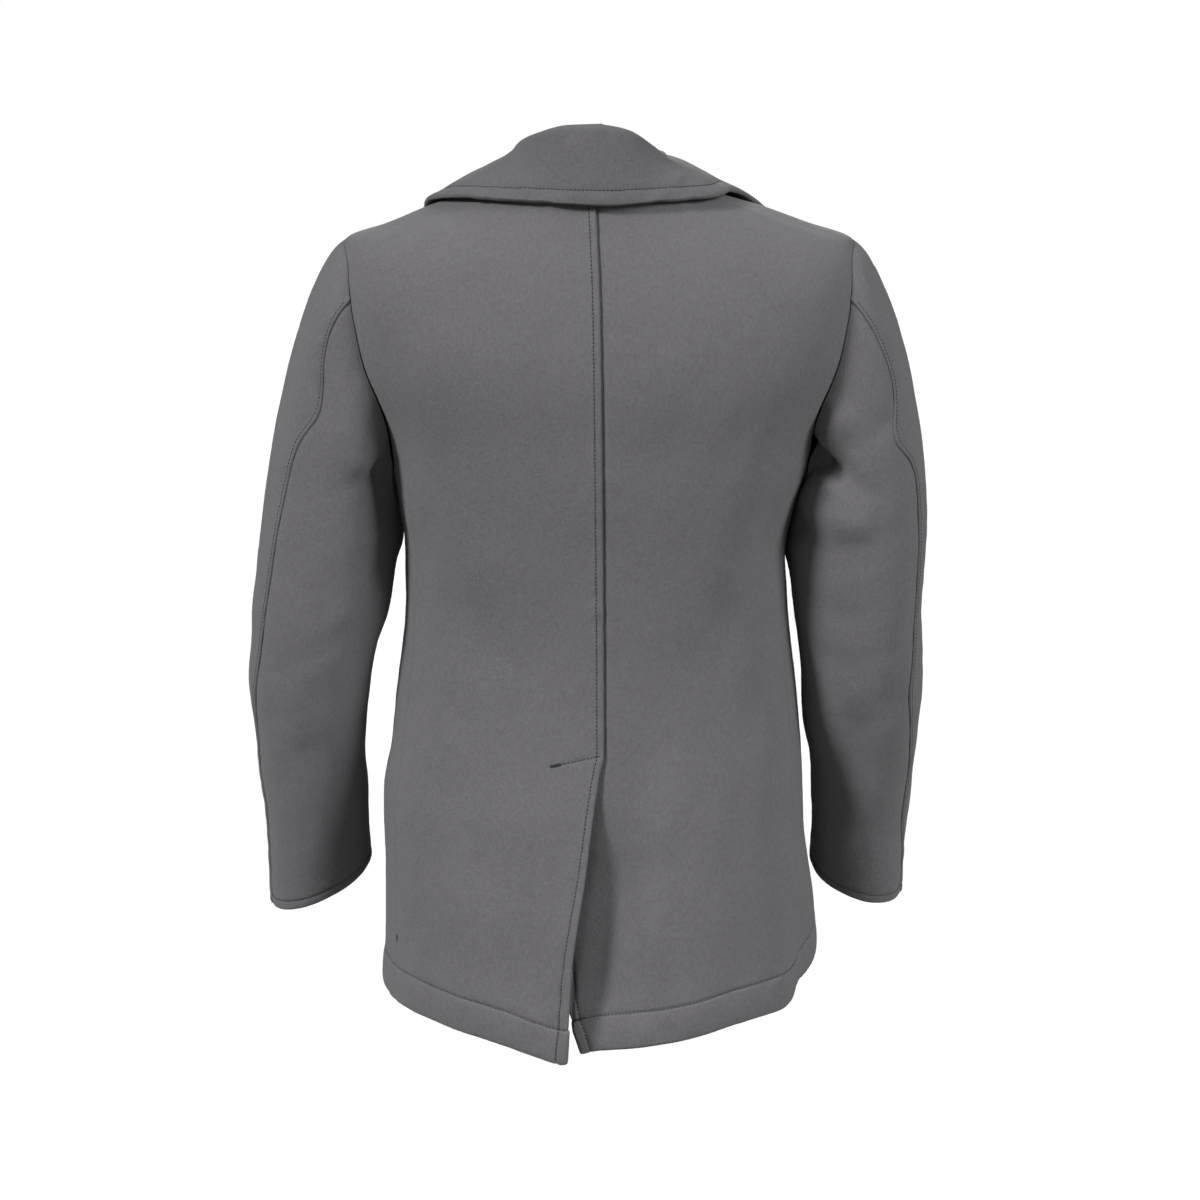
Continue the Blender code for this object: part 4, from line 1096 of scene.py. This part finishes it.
def doubled_shell(name, group, middle, out, material, stitched):
    """Two pressed layers with a full, rounded edge and a row of stitches at an even
    distance from the open sides. The sides to stitch come with the part of each that
    gets stitches. The edge swells by a bell a little inside it."""
    across, down = lengths(middle, 1), lengths(middle, 0)
    rims = {"first_row": middle[0], "last_row": middle[-1], "last_column": middle[:, -1]}
    found = {side: beside(middle, rims[side]) for side in stitched}
    away, along = np.full(middle.shape[:2], np.inf), np.zeros(middle.shape[:2])
    for distance, run in found.values():
        along = np.where(distance < away, run, along)
        away = np.minimum(distance, away)
    lift = EDGE_SWELL * bell(away - 4, 4) + sewn_row("collar edge", along, away - COLLAR_STITCH)
    outer = middle + out * (DOUBLED / 2 + lift)[..., None]
    inner = middle - out * DOUBLED / 2
    thing = shell(name + "_cloth", outer, inner, material, np.stack([across, down], -1))
    declare(middle, name)
    for side, part in stitched.items():
        distance = found[side][0]
        grids = [outer, out]
        if side == "last_column":
            grids, distance = [grid.transpose(1, 0, 2) for grid in grids], distance.T
        line, normals = [line_at(grid, distance, COLLAR_STITCH)[part] for grid in grids]
        inside = np.ones(len(line), bool)
        for other in stitched:
            if other != side:
                inside &= beside(line, rims[other])[0] > COLLAR_STITCH - 0.3
        sew(group, line[inside], normals[inside])


def line_at(points, run, wanted):
    """Points of a grid's columns (axis 0) where the running length reaches a value."""
    picked = []
    for column in range(points.shape[1]):
        order = np.argsort(run[:, column])
        picked.append(read_line(wanted, run[order, column], points[order, column]))
    return np.array(picked)


def make_collar(material):
    """The collar in one piece from its right end to its left, creased on its fall."""
    part = np.concatenate([np.linspace(0, 0.9, 68), np.linspace(0.9, 1, 22)[1:]])
    left, right = collar_half(part, 1), collar_half(part[:0:-1], -1)
    middle = np.concatenate([right, left])
    out = unit(np.cross(np.gradient(middle, axis=0), np.gradient(middle, axis=1)))
    x, z = middle[..., 0], middle[..., 2]
    creases = unevenness(x, z, COLLAR_SEED)
    for place, depth, width in COLLAR_CREASES:
        creases = creases + depth * bell(x + place + 0.9 * z, width)
    on_fall = ease((lengths(middle, 1) - FALL_CREASED_FROM) / 10)
    middle = middle + out * (on_fall * crease_depth() * creases)[..., None]
    doubled_shell("collar", "collar", middle, out, material,
                  {"last_column": np.s_[:], "first_row": np.s_[26:], "last_row": np.s_[26:]})


LAPEL_FOOT = -325
GORGE_TOP = -5
NOTCH = (106, -70)
LAPEL_TIP = (146, -122)
LAPEL_BELLY = 16
LAPEL_AIR = 1.8
ROLL_AIR = 0.9
GORGE_AIR = 2.4
GORGE_STARTS, GORGE_GROWS = 0.75, 0.2     # share of the way up
LAPEL_ROLL = 4.0
LAPEL_TUCK = 3
CROSSING = -129
CROSSING_MARGIN = 8
LAPEL_STARTS = {"left": 0.04, "right": 0.35}


def lapel_sheet(lowest, edge):
    """X, height and lift of a turned-back lapel: straight from its foot to the gorge
    and the tip, with a belly of sin(pi * up) and a roll of sin(pi * share^0.6)."""
    up = np.linspace(lowest, 1, 84)[:, None]
    share = np.concatenate([np.linspace(0, 0.9, 34), EDGE_PLACES])[None, :]
    foot_x, gorge_x = -FRONT_EDGE.read(edge, LAPEL_FOOT), -FRONT_EDGE.read(edge, GORGE_TOP)
    head_x = np.interp(share, [0, 0.5, 1], [gorge_x, NOTCH[0], LAPEL_TIP[0]])
    head_z = np.interp(share, [0, 0.5, 1], [GORGE_TOP, NOTCH[1], LAPEL_TIP[1]])
    belly = LAPEL_BELLY * np.sin(np.pi * up) * share
    z = LAPEL_FOOT + (head_z - LAPEL_FOOT) * up - belly / 2
    roll_z = LAPEL_FOOT + (GORGE_TOP - LAPEL_FOOT) * up
    roll_bow = -FRONT_EDGE.read(edge, roll_z) - (foot_x + (gorge_x - foot_x) * up)
    x = foot_x + (head_x - foot_x) * up + belly + roll_bow * (1 - share)
    gorge = ease((up - GORGE_STARTS) / GORGE_GROWS)
    air = ROLL_AIR + (LAPEL_AIR - ROLL_AIR) * ease(4 * share) + GORGE_AIR * gorge
    return x, z, DOUBLED + air + LAPEL_ROLL * np.sin(np.pi * share ** 0.6) * up


def make_lapel(side_name, side, material):
    """A lapel over its front; the right one ends where the left front covers it."""
    x, z, lift = lapel_sheet(LAPEL_STARTS[side_name], side_name)
    if side < 0:
        cover = FRONT_EDGE.read("left", z) + LAPEL_TUCK
        x = np.where(z < CROSSING + CROSSING_MARGIN, np.maximum(x, cover), x)
    angle = front_angle(side * x, z, side)
    out = outward(plain_skin, angle, z)
    middle = above(plain_skin, angle, z, lift) - out * DOUBLED / 2
    doubled_shell("lapel_" + side_name, "fronts", middle, out, material,
                  {"last_column": np.s_[6:], "last_row": np.s_[20:]})


# ---------- buttons
BUTTONS = [(98, -262), (75, -350), (75, -438), (75, -526)]
BUTTON_RADIUS = 16
BUTTON_THICKNESS = 4
BUTTON_AIR = 0.5
HOLE_PLACE = 3.1          # holes' distance from the middle, along both axes
HOLE_RADIUS = 1.5
HOLE_DEPTH = 1.9
BUTTON_MIDDLE = 0.62      # height of the sunk middle, as a share of the thickness
BUTTON_FACE = Table("share height", [
    (0, BUTTON_MIDDLE), (0.50, BUTTON_MIDDLE), (0.62, 0.68), (0.74, 0.90), (0.83, 1.0), (0.90, 0.97),
    (0.97, 0.80), (1.0, 0.62),
])
BUTTON_BACK = np.array([(1.0, 0.42), (0.99, 0.25), (0.95, 0.08), (0.86, 0.0), (0.4, 0.0), (0.03, 0.0)])
THREAD_ASIDE = 0.4        # of each of the two threads from the middle of its holes
THREAD_RADIUS = 0.45
BUTTONHOLE = (15.5, 33)   # its ends, from the middle of the button
SLIT_ROW = 1.15           # of each side's stitches, from the slit
SLIT_STITCH = 1.3         # half the length of one
SLIT_LIFT = 0.2


def button_points():
    """Turned button: face height by radius, four round holes sunk in it, an edge that
    is a half round, and a flat back, as rings from the middle out and back in."""
    share = np.concatenate([np.linspace(0.03, 0.6, 26), np.linspace(0.62, 1, 14)])[:, None]
    turn = np.linspace(0, 2 * np.pi, 65)[:-1][None, :]
    x, y = BUTTON_RADIUS * share * np.cos(turn), BUTTON_RADIUS * share * np.sin(turn)
    from_hole = np.hypot(np.abs(x) - HOLE_PLACE, np.abs(y) - HOLE_PLACE)
    hole = HOLE_DEPTH * ease((HOLE_RADIUS - from_hole) / 0.5 + 0.5)
    face = stack(x, y, BUTTON_THICKNESS * BUTTON_FACE.read("height", share) - hole)
    radius, height = BUTTON_BACK[:, :1] * BUTTON_RADIUS, BUTTON_BACK[:, 1:] * BUTTON_THICKNESS
    return np.concatenate([face, stack(radius * np.cos(turn), radius * np.sin(turn), height)])


def make_button(row, side_name, side, x, height, material):
    """A button on the cloth, its ends closed at their middles, with four threads
    through its holes."""
    angle = front_angle(side * x, height, side)
    normal = outward(plain_skin, angle, height)
    place = plain_skin(angle, height) + normal * BUTTON_AIR
    level = unit(np.cross(normal, UP))
    upward = np.cross(level, normal)
    local = button_points()
    rings, sides = local.shape[:2]
    points = place + local[..., :1] * level + local[..., 1:2] * upward + local[..., 2:] * normal
    first = np.arange(sides)
    last, tops = first + (rings - 1) * sides, np.full(sides, rings * sides)
    ends = [np.stack([tops, np.roll(first, -1), first, first], -1),
            np.stack([tops + 1, last, np.roll(last, -1), np.roll(last, -1)], -1)]
    middles = [points[ring].mean(0, keepdims=True) for ring in (0, -1)]
    node = f"button_{row}_{side_name}"
    thing = add_mesh(node + "_turned", np.concatenate([points.reshape(-1, 3)] + middles),
                     np.concatenate([ring_quads(rings, sides)] + ends), material)
    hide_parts(node)
    top = place + normal * BUTTON_THICKNESS * BUTTON_MIDDLE
    for across in (-HOLE_PLACE - THREAD_ASIDE, -HOLE_PLACE + THREAD_ASIDE,
                   HOLE_PLACE - THREAD_ASIDE, HOLE_PLACE + THREAD_ASIDE):
        line = [top + level * across + upward * reach for reach in (-HOLE_PLACE, HOLE_PLACE)]
        sew("buttons", line, np.array([normal, normal]), pitch=2 * HOLE_PLACE - 0.01, length=1.05,
            radius=THREAD_RADIUS, sink=0.0)


def make_buttonholes():
    """A row of close stitches up each side of every slit in the left front, which
    runs from under the wearer's right-hand button away from the edge."""
    for x, height in BUTTONS:
        at = np.linspace(*BUTTONHOLE, 26) - x
        for side_height in (height - SLIT_ROW, height + SLIT_ROW):
            z = np.full(len(at), side_height)
            angle = front_angle(at, z, 1)
            normals = outward(plain_skin, angle, z)
            along = unit(UP - normals * normals[:, 2:])
            centre = plain_skin(angle, z) + normals * SLIT_LIFT
            note("fronts", centre, along, normals, np.full(len(at), SLIT_STITCH), TACK_RADIUS)


# ---------- materials
class Socket:
    """A node's output; arithmetic on it adds Math nodes."""

    def __init__(self, shader, link):
        self.shader, self.link = shader, link

    def _math(self, operation, first, second):
        return self.shader.node("ShaderNodeMath", {"operation": operation}, {0: first, 1: second})

    def __add__(self, other):
        return self._math("ADD", self, other)

    def __radd__(self, other):
        return self._math("ADD", other, self)

    def __sub__(self, other):
        return self._math("SUBTRACT", self, other)

    def __rsub__(self, other):
        return self._math("SUBTRACT", other, self)

    def __mul__(self, other):
        return self._math("MULTIPLY", self, other)

    def __rmul__(self, other):
        return self._math("MULTIPLY", other, self)


class Shader:
    """A material's node tree, with one method that adds any node."""

    def __init__(self, name, colour, **constants):
        self.material = bpy.data.materials.new(name)
        self.material.use_nodes = True
        self.tree = self.material.node_tree
        self.surface = self.tree.nodes["Principled BSDF"]
        self.colour = tuple(colour)
        self.surface.inputs["Base Color"].default_value = (*self.colour, 1)
        self.surface.inputs["Metallic"].default_value = 0
        for socket, value in constants.items():
            self.surface.inputs[socket.replace("_", " ").title()].default_value = value

    def node(self, kind, settings=None, sockets=None, output=0):
        made = self.tree.nodes.new(kind)
        for key, value in (settings or {}).items():
            if key == "stops":
                ramp = made.color_ramp
                while len(ramp.elements) < len(value):
                    ramp.elements.new(0.5)
                for element, (place, shade) in zip(ramp.elements, value):
                    element.position = place
                    element.color = (shade, shade, shade, 1)
            else:
                setattr(made, key, value)
        for key, value in (sockets or {}).items():
            if isinstance(value, Socket):
                self.tree.links.new(value.link, made.inputs[key])
            else:
                made.inputs[key].default_value = value
        return Socket(self, made.outputs[output])

    def noise(self, where, scale, detail=2.0, roughness=0.5):
        sockets = {"Vector": where, "Scale": scale, "Detail": detail, "Roughness": roughness}
        return self.node("ShaderNodeTexNoise", {}, sockets)

    def place(self, stretch=(1, 1, 1)):
        where = self.node("ShaderNodeTexCoord", output="Object")
        return self.node("ShaderNodeMapping", {}, {"Vector": where, "Scale": stretch})

    def shade(self, amount):
        """Base colour times an amount that changes over the surface."""
        colour = self.node("ShaderNodeVectorMath", {"operation": "SCALE"},
                           {0: self.colour, "Scale": amount})
        self.tree.links.new(colour.link, self.surface.inputs["Base Color"])

    def bump(self, height, distance, strength=1.0):
        sockets = {"Height": height, "Distance": distance, "Strength": strength}
        made = self.node("ShaderNodeBump", {}, sockets)
        self.tree.links.new(made.link, self.surface.inputs["Normal"])


def melton_material(name, painted_shade_share):
    """Felted wool: fibre grain, short darker flecks and a slow change of tone. The painted
    shade share scales the cloth's colour: below 1 it is a painted shade, a darker copy of the melton."""
    shader = Shader(name, np.array(bpy.context.scene.coat_colours.cloth) * painted_shade_share, roughness=0.95)
    surface = shader.surface.inputs
    surface["Sheen Weight"].default_value = 0.12
    surface["Sheen Roughness"].default_value = 0.5
    surface["Specular IOR Level"].default_value = 0.18
    where = shader.place()
    grain = shader.noise(where, 1100, 3.0, 0.65)
    fleck = shader.noise(shader.place((1.0, 1.0, 0.45)), 520, 2.0, 0.6)
    fleck = shader.node("ShaderNodeValToRGB", {"stops": [(0.36, 0.0), (0.62, 1.0)]}, {"Fac": fleck})
    felt = shader.noise(shader.place((1.0, 1.0, 0.8)), 420, 3.0, 0.7)
    tone = shader.noise(where, 14, 3.0, 0.55)
    shader.shade(1.0 + 0.10 * (fleck - 0.5) + 0.24 * (grain - 0.5) + 0.44 * (felt - 0.5)
                 + 0.16 * (tone - 0.5))
    fibre = shader.noise(shader.place((1.0, 1.0, 0.6)), 800, 4.0, 0.7)
    shader.bump(0.5 * fibre + 0.3 * grain + 0.6 * felt, 0.0014, 0.7)
    return shader.material


def thread_material(name):
    """Dark twisted sewing thread."""
    shader = Shader(name, bpy.context.scene.coat_colours.thread, roughness=0.7)
    grain = shader.noise(shader.place(), 2600, 2.0)
    shader.shade(0.75 + 0.5 * grain)
    shader.bump(grain, 0.0002, 0.6)
    return shader.material


def button_material(name):
    """Dark moulded horn-like plastic with faint clouding and a soft polish."""
    shader = Shader(name, bpy.context.scene.coat_colours.button, roughness=0.36)
    cloud = shader.noise(shader.place((1, 1, 2)), 130, 4.0, 0.6)
    shader.shade(0.7 + 0.7 * cloud)
    shader.bump(shader.noise(shader.place(), 900, 2.0), 0.0002, 0.2)
    return shader.material


# ---------- properties
class CoatSizes(bpy.types.PropertyGroup):
    """Sizes that can be changed before the coat is made."""
    crease_depth: bpy.props.FloatProperty(
        name="Crease depth", description="How strongly the cloth's small creases show",
        default=1.0, min=0.0, max=2.0)
    stitch_pitch: bpy.props.FloatProperty(
        name="Stitch pitch", description="Length of one stitch and the space after it",
        default=0.0034, min=0.002, max=0.006, unit="LENGTH")
    camera_distance: bpy.props.FloatProperty(
        name="Camera distance", description="From the middle of the coat to the camera",
        default=2.285, min=1.0, max=6.0, unit="LENGTH")


class CoatColours(bpy.types.PropertyGroup):
    """Colours that can be changed before the coat is made."""
    cloth: bpy.props.FloatVectorProperty(
        name="Cloth", description="Colour of the melton", subtype="COLOR", size=3,
        default=(0.158, 0.153, 0.160), min=0, max=1)
    thread: bpy.props.FloatVectorProperty(
        name="Thread", description="Colour of the sewing thread", subtype="COLOR", size=3,
        default=(0.03, 0.03, 0.032), min=0, max=1)
    button: bpy.props.FloatVectorProperty(
        name="Buttons", description="Colour of the buttons", subtype="COLOR", size=3,
        default=(0.03, 0.03, 0.033), min=0, max=1)


# ---------- operators
COLLAR_PAINTED_SHADE = 0.88          # painted shade: the collar's copy of the melton is this much darker


def melton():
    """The coat's cloth, made once."""
    return bpy.data.materials.get("grey_melton") or melton_material("grey_melton", 1.0)


class COAT_OT_backs(bpy.types.Operator):
    """Make the two back panels, the left lapped over the right down to the vent"""
    bl_idname = "coat.backs"
    bl_label = "Back Panels"

    def execute(self, context):
        make_back_left(melton())
        make_back_right(melton())
        return {"FINISHED"}


class COAT_OT_fronts(bpy.types.Operator):
    """Make the two fronts, the left closed over the right"""
    bl_idname = "coat.fronts"
    bl_label = "Fronts"

    def execute(self, context):
        make_front("left", 1, plain_skin, melton())
        make_front("right", -1, front_right_skin, melton())
        return {"FINISHED"}


class COAT_OT_sleeves(bpy.types.Operator):
    """Make both two-piece sleeves with their lapped hind seams and stitched cuffs"""
    bl_idname = "coat.sleeves"
    bl_label = "Sleeves"

    def execute(self, context):
        for side_name, side in SIDES:
            make_sleeve(side_name, side, melton())
        return {"FINISHED"}


class COAT_OT_collar(bpy.types.Operator):
    """Make the turned-down collar"""
    bl_idname = "coat.collar"
    bl_label = "Collar"

    def execute(self, context):
        # painted shade: the collar gets a darker copy of the melton
        make_collar(melton_material("grey_melton_painted_shade", COLLAR_PAINTED_SHADE))
        return {"FINISHED"}


class COAT_OT_lapels(bpy.types.Operator):
    """Make the two turned-back lapels"""
    bl_idname = "coat.lapels"
    bl_label = "Lapels"

    def execute(self, context):
        for side_name, side in SIDES:
            make_lapel(side_name, side, melton())
        return {"FINISHED"}


class COAT_OT_buttons(bpy.types.Operator):
    """Make the eight sewn-on buttons and the four buttonholes"""
    bl_idname = "coat.buttons"
    bl_label = "Buttons"

    def execute(self, context):
        material = button_material("dark_button")
        for row, (x, height) in enumerate(BUTTONS, 1):
            for side_name, side in SIDES:
                make_button(row, side_name, side, x, height, material)
        make_buttonholes()
        return {"FINISHED"}


class COAT_OT_stitching(bpy.types.Operator):
    """Make every row of stitches that the other pieces have asked for"""
    bl_idname = "coat.stitching"
    bl_label = "Stitching"

    def execute(self, context):
        if not SEWN:
            raise RuntimeError("make the cloth pieces before their stitching")
        material = thread_material("grey_thread")
        for group, notes in sorted(SEWN.items()):
            stitch_mesh("stitches_" + group, notes, material)
        return {"FINISHED"}


TARGET = (0.0009, 0.0, -0.389)
ELEVATION = 15
LENS = 76.1
FLOOR = -1.5
REACH = 30                # half width of the floor, which a plain white wall stands round
WALL = 30                 # the wall's top
SKY = 0.21
LIGHTS = (                # side, counted like the angles round the body, height, strength, softness
    ("key", 58, 33, 2.66, 12), ("fill", -60, 27, 1.98, 24), ("front", 180, 12, 1.2, 20),
)


def sun(name, around, elevation, strength, softness):
    """A sun that shines on the coat from an angle round it and a height above level."""
    data = bpy.data.lights.new(name, "SUN")
    data.energy = strength
    data.angle = np.radians(softness)
    lamp = bpy.data.objects.new(name, data)
    turn, rise = np.radians(around), np.radians(elevation)
    towards = Vector((np.sin(turn) * np.cos(rise), np.cos(turn) * np.cos(rise), np.sin(rise)))
    lamp.rotation_euler = towards.to_track_quat("Z", "Y").to_euler()
    bpy.context.scene.collection.objects.link(lamp)


def stage_piece(name, shader, points, faces):
    """A matt piece of the stage that throws no light on the coat."""
    shader.surface.inputs["Specular IOR Level"].default_value = 0
    mesh = bpy.data.meshes.new(name)
    mesh.from_pydata(points, [], faces)
    mesh.materials.append(shader.material)
    piece = bpy.data.objects.new(name, mesh)
    bpy.context.scene.collection.objects.link(piece)
    piece.visible_diffuse = False
    piece.visible_glossy = False
    return piece


class COAT_OT_stage(bpy.types.Operator):
    """Make the floor, the wall, the lights and the camera"""
    bl_idname = "coat.stage"
    bl_label = "Stage"

    def execute(self, context):
        scene = context.scene
        low, high = ([(x * REACH, y * REACH, z) for x, y in ((-1, -1), (1, -1), (1, 1), (-1, 1))]
                     for z in (FLOOR, WALL))
        stage_piece("floor", Shader("white_floor", (1, 1, 1), roughness=1.0), low, [(0, 1, 2, 3)])
        glow = Shader("white_wall", (0, 0, 0), roughness=1.0, emission_color=(1, 1, 1, 1),
                      emission_strength=1.0)
        wall = stage_piece("wall", glow, low + high,
                           [(k, k + 4, (k + 1) % 4 + 4, (k + 1) % 4) for k in range(4)])
        wall.visible_shadow = False
        world = bpy.data.worlds.new("studio")
        world.use_nodes = True
        sky = world.node_tree.nodes["Background"]
        sky.inputs["Color"].default_value = (1, 1, 1, 1)
        sky.inputs["Strength"].default_value = SKY
        scene.world = world
        scene.view_settings.view_transform = "Standard"
        scene.view_settings.look = "None"
        for light in LIGHTS:
            sun(*light)
        camera = bpy.data.objects.new("camera", bpy.data.cameras.new("camera"))
        camera.data.lens = LENS
        camera.data.sensor_width = 36
        camera.data.clip_end = 400
        tilt = np.radians(ELEVATION)
        back = Vector((0, np.cos(tilt), np.sin(tilt)))
        camera.location = Vector(TARGET) + back * scene.coat_sizes.camera_distance
        camera.rotation_euler = (-back).to_track_quat("-Z", "Y").to_euler()
        scene.collection.objects.link(camera)
        scene.camera = camera
        return {"FINISHED"}


MAKERS = (COAT_OT_backs, COAT_OT_fronts, COAT_OT_sleeves, COAT_OT_collar, COAT_OT_lapels,
          COAT_OT_buttons, COAT_OT_stitching, COAT_OT_stage)


class COAT_PT_panel(bpy.types.Panel):
    """Sizes, colours and makers of the coat"""
    bl_idname = "COAT_PT_panel"
    bl_label = "Pea Coat"
    bl_space_type = "VIEW_3D"
    bl_region_type = "UI"
    bl_category = "Coat"

    def draw(self, context):
        for group in (context.scene.coat_sizes, context.scene.coat_colours):
            for name in group.bl_rna.properties.keys():
                if name not in ("rna_type", "name"):
                    self.layout.prop(group, name)
        for maker in MAKERS:
            self.layout.operator(maker.bl_idname)


CLASSES = (CoatSizes, CoatColours) + MAKERS + (COAT_PT_panel,)


def register():
    for kind in CLASSES:
        bpy.utils.register_class(kind)
    bpy.types.Scene.coat_sizes = bpy.props.PointerProperty(type=CoatSizes)
    bpy.types.Scene.coat_colours = bpy.props.PointerProperty(type=CoatColours)


def unregister():
    del bpy.types.Scene.coat_colours
    del bpy.types.Scene.coat_sizes
    for kind in reversed(CLASSES):
        bpy.utils.unregister_class(kind)


def main():
    register()
    for maker in MAKERS:
        group, name = maker.bl_idname.split(".")
        getattr(getattr(bpy.ops, group), name)()


if __name__ == "__main__":
    main()
